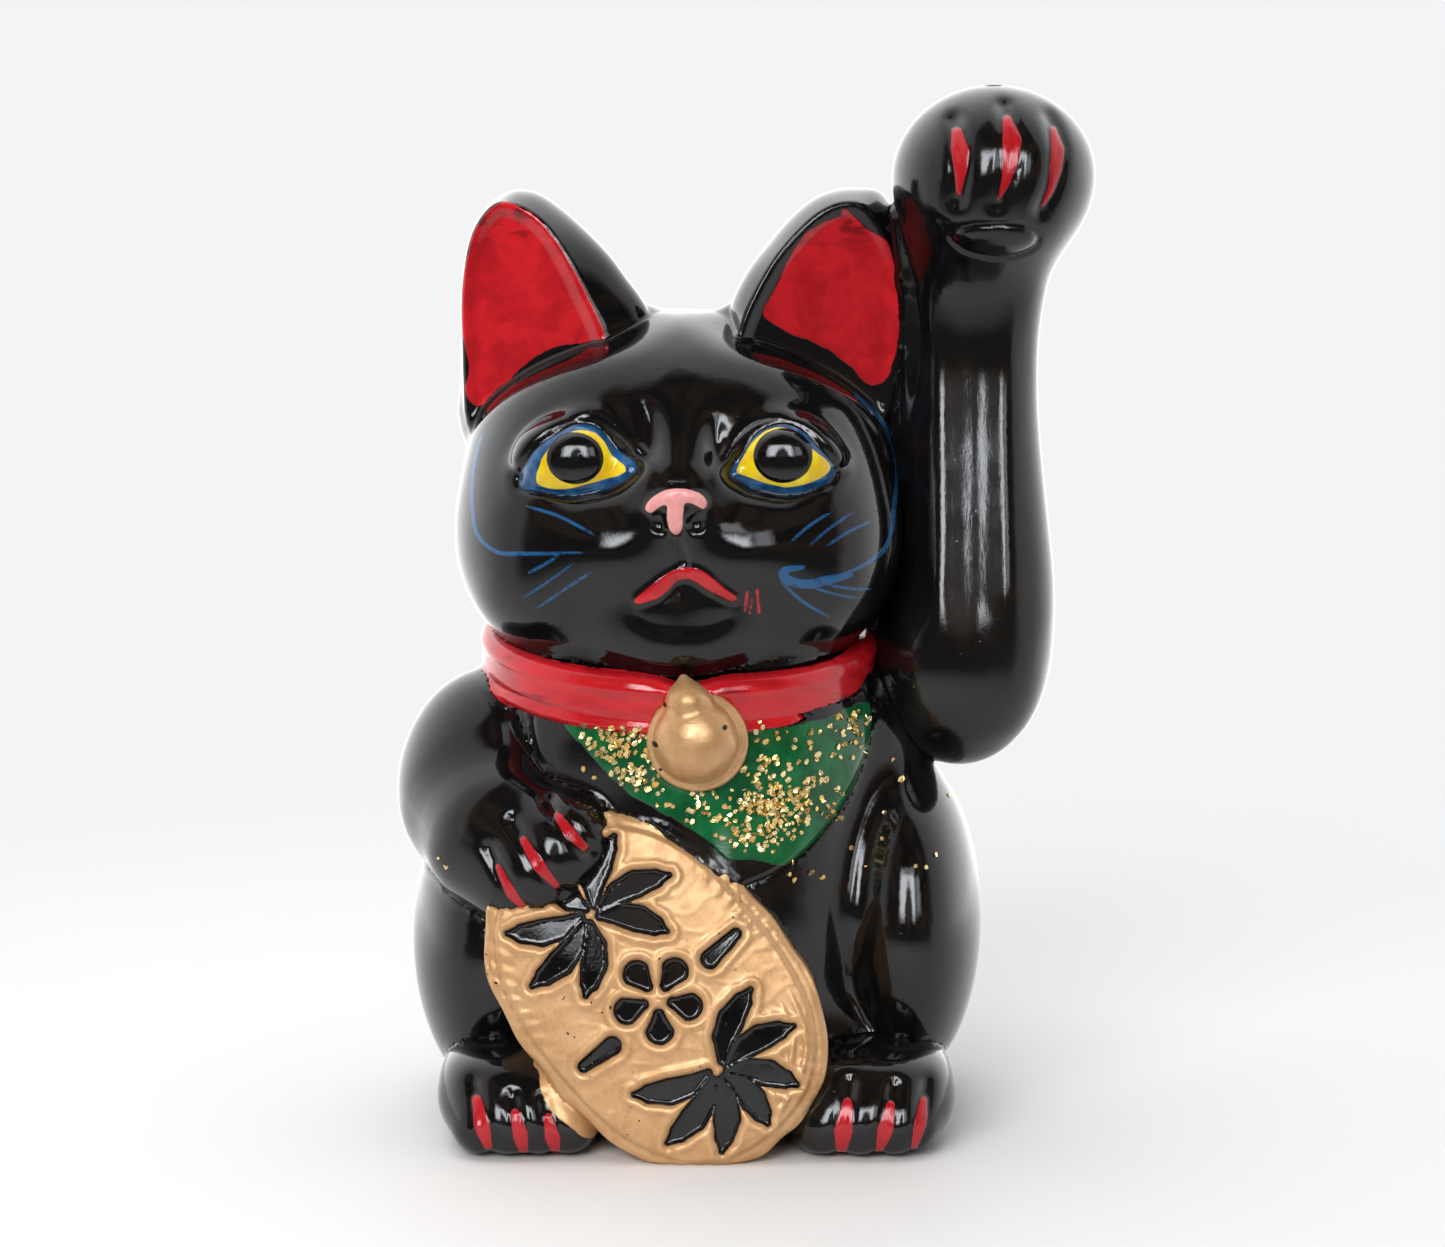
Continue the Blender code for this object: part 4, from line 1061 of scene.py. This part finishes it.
def bell_material():
    g = Graph("bell_paint")
    gold = gold_color(g)
    sep = g.node("ShaderNodeSeparateXYZ"); g.put(sep.inputs[0], g.coord)
    dot = None
    for x, z, r in ((-5.8, 71.4, 0.55), (-4.2, 77.9, 0.4), (5.9, 74.6, 0.45), (-4.9, 66.8, 0.3)):
        dx = g.math("SUBTRACT", sep.outputs[0], (x - 9.0) / 1000); dz = g.math("SUBTRACT", sep.outputs[2], z / 1000)
        d = g.math("SQRT", g.math("ADD", g.math("MULTIPLY", dx, dx), g.math("MULTIPLY", dz, dz)))
        s = g.ramp(d, r / 1000 * 1.1, r / 1000 * 0.8)
        dot = s if dot is None else g.math("MAXIMUM", dot, s)
    color = g.mix(dot, gold, BLACK)
    brush = g.noise(1.1, 2.0, 0.6, stretch=(0.6, 1.0, 1.4), seed=14.0)
    rough = g.ramp(g.noise(2.0, 2.0, seed=2.0), 0.3, 0.75, 0.30, 0.42)
    return g.finish(color, rough, 0.4, normal=lacquer_surface(g, brush, 0.6))


def rubber_material():
    g = Graph("rubber")
    color = g.mix(g.ramp(g.noise(3.0, 3.0, seed=1.0), 0.3, 0.7), (0.018, 0.018, 0.018), (0.035, 0.034, 0.033))
    return g.finish(color, 0.62, normal=g.bump(g.noise(0.4, 3.0, 0.7), 0.00005))


def flake_material():
    g = Graph("glitter")
    info = g.node("ShaderNodeAttribute"); info.attribute_name = "tone"
    color = g.mix(info.outputs["Fac"], (0.70, 0.43, 0.12), (0.96, 0.80, 0.42))
    return g.finish(color, g.ramp(g.noise(0.5, 2.0), 0.3, 0.7, 0.16, 0.3), 0.85, normal=g.bump(g.noise(0.25, 1.0), 0.00003))


# ---------------------------------------------------------------------- build
SLOT = {"collar_band": "red_paint", "bib": "green_paint", "bell": "gold_paint", "koban_plaque": "gold_paint"}
MATERIAL = {
    "torso_shell": lambda: black_material("body_black"), "tail": lambda: bpy.data.materials["body_black"],
    "head_shell": head_material, "raised_arm_shell": lambda: black_material("arm_black", True, brushed=0.55),
    "coin_arm": lambda: black_material("claw_black", True), "left_foot": lambda: bpy.data.materials["claw_black"],
    "right_foot": lambda: black_material("foot_black", True, True), "collar_band": collar_material, "bib": bib_material,
    "bell": bell_material, "koban_plaque": koban_material,
}
made = {}
for name in ("torso_shell", "head_shell", "raised_arm_shell", "coin_arm", "left_foot", "right_foot", "tail", "collar_band", "bib", "bell", "koban_plaque"):
    verts, quads = build_piece(name)
    obj = make_object(name + "_form", verts, quads, paint_fields(name, verts))
    obj.data.materials.append(MATERIAL[name]())
    obj.data.shade_smooth()
    obj.data.set_sharp_from_angle(angle=math.radians(62))
    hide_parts(name)
    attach(obj, "figure")
    SLOT.get(name, "black_lacquer")
    made[name] = obj


def lay_flakes():
    """Gold glitter: small bent hexagonal flakes lying in the bib's varnish, with strays on the body."""
    rng = np.random.default_rng(7)
    bm_v, bm_f, tone = [], [], []
    trees = {}
    for n in ("bib", "torso_shell", "coin_arm", "bell", "collar_band"):
        me = made[n].data
        co = np.empty(len(me.vertices) * 3, np.float32); me.vertices.foreach_get("co", co)
        trees[n] = BVHTree.FromPolygons([Vector(c) for c in co.reshape(-1, 3)], [tuple(p.vertices) for p in me.polygons])

    def drop(x, z, names, lift=0.00012):
        o = Vector(((x - ORIGIN[0]) / 1000, -0.08, z / 1000))
        best = None
        for n in names:
            hit = trees[n].ray_cast(o, Vector((0, 1, 0)))
            if hit[0] is not None and (best is None or hit[3] < best[3]):
                best = (*hit[:2], n, hit[3])
        if best is None:
            return
        at, nrm, n, _ = best
        if n == "bell":
            return
        size = rng.uniform(0.44, 0.74) / 1000
        tilt = Vector(rng.normal(0, 0.38, 3))
        nrm = (nrm + tilt).normalized()
        u = nrm.orthogonal().normalized(); w = nrm.cross(u)
        turn = rng.uniform(0, math.tau)
        base = len(bm_v)
        at = at + nrm * (lift + rng.uniform(0, 0.00012))
        thick = nrm * 0.00009
        ring = []
        for i in range(6):
            a = turn + math.tau * i / 6
            r = size * rng.uniform(0.62, 1.1)
            ring.append(u * (math.cos(a) * r) + w * (math.sin(a) * r * rng.uniform(0.75, 1.0)) + nrm * rng.uniform(-0.00008, 0.00008))
        for s in (1, -1):
            for v in ring:
                bm_v.append(at + v + thick * s)
        bm_f.append([base + i for i in range(6)])
        bm_f.append([base + 11 - i for i in range(6)])
        for i in range(6):
            j = (i + 1) % 6
            bm_f.append([base + j, base + i, base + 6 + i, base + 6 + j])
        t = rng.uniform(0, 1)
        tone.extend([t] * 12)
    body = ("bib", "torso_shell", "coin_arm", "collar_band", "bell")

    def in_bib(x, z, margin=0.4):
        return area2(np.array([(x, z)], F32), BIB)[0] < -margin
    clusters = [((-12.5, 71.6), (4.0, 2.4), 105), ((-9.6, 66.5), (2.6, 3.2), 75), ((16.0, 58.8), (3.8, 2.8), 125), ((11.0, 56.5), (4.6, 3.4), 80),
                ((27.7, 72.5), (2.6, 3.6), 48), ((21.0, 68.0), (5.5, 5.0), 42), ((2.0, 59.5), (4.6, 2.2), 42), ((11.2, 70.0), (1.8, 3.6), 26), ((15.0, 64.5), (5.0, 3.0), 26)]
    for (cx, cz), (sx, sz), count in clusters:
        for _ in range(count):
            x, z = rng.normal(cx, sx), rng.normal(cz, sz)
            if in_bib(x, z):
                drop(x, z, body)
    for x, z in ((36.5, 61.0), (33.6, 56.0), (40.2, 47.8), (42.0, 49.5), (38.5, 48.0), (30.0, 47.6), (22.5, 46.4), (16.8, 47.6), (17.6, 46.6), (20.5, 47.5),
                 (-41.5, 49.0), (-42.6, 50.2), (33.0, 52.0), (27.5, 50.4), (35.0, 64.5), (-18.0, 66.0), (-16.2, 64.6), (45.0, 57.0)):
        drop(x, z, body)
    mesh = bpy.data.meshes.new("glitter_flakes")
    mesh.from_pydata([tuple(v) for v in bm_v], [], bm_f)
    mesh.attributes.new("tone", "FLOAT", "POINT").data.foreach_set("value", np.array(tone, np.float32))
    mesh.validate()
    obj = bpy.data.objects.new("glitter_flakes", mesh)
    bpy.context.scene.collection.objects.link(obj)
    mesh.materials.append(flake_material())
    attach(obj, "figure")


lay_flakes()


def make_bung():
    lo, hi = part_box("base_stopper")
    cx, cy = (lo.x + hi.x) / 2, (lo.y + hi.y) / 2
    R = (hi.x - lo.x) / 2 * 1000
    z0, z1 = lo.z * 1000, hi.z * 1000
    stem = R - 3.0
    prof = [(0.0, z1), (stem - 1.6, z1), (stem - 0.7, z1 - 0.3), (stem - 0.2, z1 - 1.0), (stem, z1 - 2.2), (stem - 0.15, 3.2), (stem - 0.25, 2.7), (stem, 2.35), (stem + 0.5, 2.1),
            (R - 0.5, 2.0), (R - 0.1, 1.8), (R, 1.5), (R, 1.2), (R - 0.1, 0.85), (R - 0.5, z0), (7.2, z0), (6.9, z0 + 0.1), (6.6, 0.95), (6.2, 1.05), (4.4, 1.05), (4.0, 0.95), (3.7, 0.7), (3.2, z0), (1.6, z0), (0.0, z0)]
    bm = bmesh.new()
    vs = [bm.verts.new((r / 1000, 0, z / 1000)) for r, z in prof]
    for a, b in zip(vs[:-1], vs[1:]):
        bm.edges.new((a, b))
    bmesh.ops.spin(bm, geom=bm.verts[:] + bm.edges[:], axis=(0, 0, 1), cent=(0, 0, 0), angle=math.tau, steps=96, use_merge=True)
    bmesh.ops.remove_doubles(bm, verts=bm.verts, dist=1e-6)
    bmesh.ops.recalc_face_normals(bm, faces=bm.faces)
    mesh = bpy.data.meshes.new("bung_form")
    bm.to_mesh(mesh); bm.free()
    mesh.transform(Matrix.Translation((cx, cy, 0)))
    mesh.shade_smooth(); mesh.set_sharp_from_angle(angle=math.radians(50))
    obj = bpy.data.objects.new("bung_form", mesh)
    bpy.context.scene.collection.objects.link(obj)
    mesh.materials.append(rubber_material())
    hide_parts("base_stopper")
    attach(obj, "bung")


make_bung()

# ---------------------------------------------------------------------- studio
PAPER = 0.905


def floor():
    bpy.ops.mesh.primitive_plane_add(size=8.0, location=(0, 1.0, 0))
    obj = bpy.context.object
    obj.name = "studio_floor"
    g = Graph("floor_paper_and_glow")
    color = g.mix(g.noise(60.0, 2.0, seed=1.0), (0.755, 0.755, 0.755), (0.775, 0.775, 0.78))
    paper = g.node("ShaderNodeBsdfPrincipled")
    g.put(paper.inputs["Base Color"], color); paper.inputs["Roughness"].default_value = 0.6
    paper.inputs["Specular IOR Level"].default_value = 0.2
    geo = g.node("ShaderNodeNewGeometry")
    sep = g.node("ShaderNodeSeparateXYZ"); g.put(sep.inputs[0], geo.outputs["Position"])
    x, y = sep.outputs[0], sep.outputs[1]
    away = g.math("SQRT", g.math("ADD", g.math("MULTIPLY", x, x), g.math("MULTIPLY", y, y)))
    # the sweep runs out of focus into the backdrop as an emitter: to the camera it glows an even paper white; in the
    # glaze's reflections and in bounce light it is painted light, dim towards the room and brighter than paper at the
    # sides and behind
    far = g.node("ShaderNodeEmission")
    far.inputs["Color"].default_value = (1.0, 1.0, 1.0, 1)
    aim = g.math("DIVIDE", y, g.math("MAXIMUM", away, 0.001))
    side = g.ramp(aim, -0.60, -0.37)
    front = g.math("MULTIPLY", g.ramp(y, -0.40, -0.02, 0.10, 0.36), g.math("SUBTRACT", 1.0, side))
    front = g.math("ADD", front, g.math("MULTIPLY", side, g.ramp(aim, -0.35, 0.75, 0.85, 2.3)))
    path = g.node("ShaderNodeLightPath")
    glow = g.node("ShaderNodeMix", data_type="FLOAT")
    g.put(glow.inputs[0], path.outputs["Is Camera Ray"]); g.put(glow.inputs[2], front); glow.inputs[3].default_value = PAPER
    g.put(far.inputs["Strength"], glow.outputs[0])
    m = g.node("ShaderNodeMixShader")
    g.put(m.inputs[0], g.ramp(away, 0.10, 0.34))
    g.tree.links.new(paper.outputs[0], m.inputs[1]); g.tree.links.new(far.outputs[0], m.inputs[2])
    t = g.node("ShaderNodeBsdfTransparent")
    mix = g.node("ShaderNodeMixShader")
    g.put(mix.inputs[0], geo.outputs["Backfacing"])
    g.tree.links.new(m.outputs[0], mix.inputs[1]); g.tree.links.new(t.outputs[0], mix.inputs[2])
    g.tree.links.new(mix.outputs[0], g.out.inputs["Surface"])
    obj.data.materials.append(g.material)


floor()


def area(name, at, target, size, power, color=(1, 1, 1), size_y=None):
    light = bpy.data.lights.new(name, "AREA")
    light.shape = "RECTANGLE"; light.size = size; light.size_y = size_y or size
    light.energy = power; light.color = color
    obj = bpy.data.objects.new(name, light)
    bpy.context.scene.collection.objects.link(obj)
    obj.location = at
    obj.rotation_euler = (Vector(target) - Vector(at)).to_track_quat("-Z", "Y").to_euler()
    obj.visible_glossy = False          # what the glaze mirrors is painted on the world below
    return obj


area("window", (-0.45, -1.15, 0.75), (0, 0, 0.09), 0.9, 13.5, (1.0, 0.99, 0.975), 0.6)
area("ceiling", (-0.25, 0.15, 1.5), (0, 0, 0.05), 1.5, 13.0)

world = bpy.data.worlds.new("studio")
bpy.context.scene.world = world
world.use_nodes = True
wt = world.node_tree
wt.nodes.clear()


def wlink(socket, value):
    if isinstance(value, bpy.types.NodeSocket):
        wt.links.new(value, socket)
    else:
        socket.default_value = value


def wmath(op, a, b=None):
    n = wt.nodes.new("ShaderNodeMath"); n.operation = op
    wlink(n.inputs[0], a)
    if b is not None:
        wlink(n.inputs[1], b)
    return n.outputs[0]


def wramp(x, lo, hi, a=0.0, b=1.0):
    n = wt.nodes.new("ShaderNodeMapRange"); n.interpolation_type = "SMOOTHSTEP"
    for k, v in (("Value", x), ("From Min", lo), ("From Max", hi), ("To Min", a), ("To Max", b)):
        wlink(n.inputs[k], v)
    return n.outputs[0]


def wmix(fac, a, b):
    n = wt.nodes.new("ShaderNodeMix"); n.data_type = "RGBA"
    wlink(n.inputs[0], fac)
    for socket, v in ((n.inputs[6], a), (n.inputs[7], b)):
        wlink(socket, v if isinstance(v, bpy.types.NodeSocket) else (*v, 1.0))
    return n.outputs[2]


tex = wt.nodes.new("ShaderNodeTexCoord")
sep = wt.nodes.new("ShaderNodeSeparateXYZ")
wt.links.new(tex.outputs["Generated"], sep.inputs[0])
deg = 180 / math.pi
az = wmath("MULTIPLY", wmath("ARCTAN2", sep.outputs[0], wmath("MULTIPLY", sep.outputs[1], -1.0)), deg)    # 0 in front, + to the right
el = wmath("MULTIPLY", wmath("ARCSINE", sep.outputs[2]), deg)


def wbox(az0, el0, half_az, half_el, soft):
    """1 inside a window in the room, in degrees."""
    a = wmath("ABSOLUTE", wmath("SUBTRACT", az, az0)); e = wmath("ABSOLUTE", wmath("SUBTRACT", el, el0))
    return wmath("MULTIPLY", wramp(a, half_az + soft, half_az - soft), wramp(e, half_el + soft, half_el - soft))


def wround(az0, el0, ra, re, power=2.0):
    a = wmath("POWER", wmath("ABSOLUTE", wmath("MULTIPLY", wmath("SUBTRACT", az, az0), 1 / ra)), power)
    e = wmath("POWER", wmath("ABSOLUTE", wmath("MULTIPLY", wmath("SUBTRACT", el, el0), 1 / re)), power)
    return wmath("POWER", wmath("ADD", a, e), 1 / power)


room = wround(4.0, 20.0, 62.0, 68.0, 3.0)
white = wramp(room, 0.86, 1.10)
blur = wt.nodes.new("ShaderNodeTexNoise"); blur.inputs["Scale"].default_value = 3.2; blur.inputs["Detail"].default_value = 3.0
wt.links.new(tex.outputs["Generated"], blur.inputs["Vector"])
clutter = wramp(blur.outputs["Fac"], 0.42, 0.66)
inside = wmix(clutter, (0.030, 0.026, 0.024), (0.26, 0.17, 0.11))
outside = wmix(wramp(sep.outputs[1], -0.35, 0.75), (0.85, 0.85, 0.87), (2.3, 2.32, 2.36))
glossy = wmix(white, inside, outside)
pane = wmath("MAXIMUM", wbox(-1.0, 22.5, 21.0, 14.5, 5.0), wmath("MULTIPLY", wbox(30.0, 21.0, 6.0, 12.0, 3.0), 0.25))
bite = wramp(wround(2.0, 5.0, 10.5, 25.0), 1.30, 0.78)
pane = wmath("MULTIPLY", pane, wmath("SUBTRACT", 1.0, wmath("MULTIPLY", bite, 0.97)))
glossy = wmix(pane, glossy, (11.5, 12.0, 12.6))
path = wt.nodes.new("ShaderNodeLightPath")
diffuse = wmix(white, (0.30, 0.28, 0.26), (0.62, 0.62, 0.63))
seen = wmix(path.outputs["Is Glossy Ray"], diffuse, glossy)
seen = wmix(path.outputs["Is Camera Ray"], seen, (PAPER, PAPER, PAPER))
bg = wt.nodes.new("ShaderNodeBackground")
wt.links.new(seen, bg.inputs["Color"])
wo = wt.nodes.new("ShaderNodeOutputWorld")
wt.links.new(bg.outputs[0], wo.inputs["Surface"])

# camera at the photograph's angle: 9 degrees down, from the front
EL, D = math.radians(9.0), 0.700
target = Vector(to_row([[5.5, 0, 86.5]])[0])
cam_data = bpy.data.cameras.new("camera")
cam_data.sensor_fit = "HORIZONTAL"; cam_data.sensor_width = 36.0
cam_data.lens = 36.0 * D / 0.253
cam = bpy.data.objects.new("camera", cam_data)
bpy.context.scene.collection.objects.link(cam)
cam.location = target + Vector((0, -math.cos(EL), math.sin(EL))) * D
cam.rotation_euler = (target - cam.location).to_track_quat("-Z", "Y").to_euler()
bpy.context.scene.camera = cam
bpy.context.scene.view_settings.view_transform = "Standard"
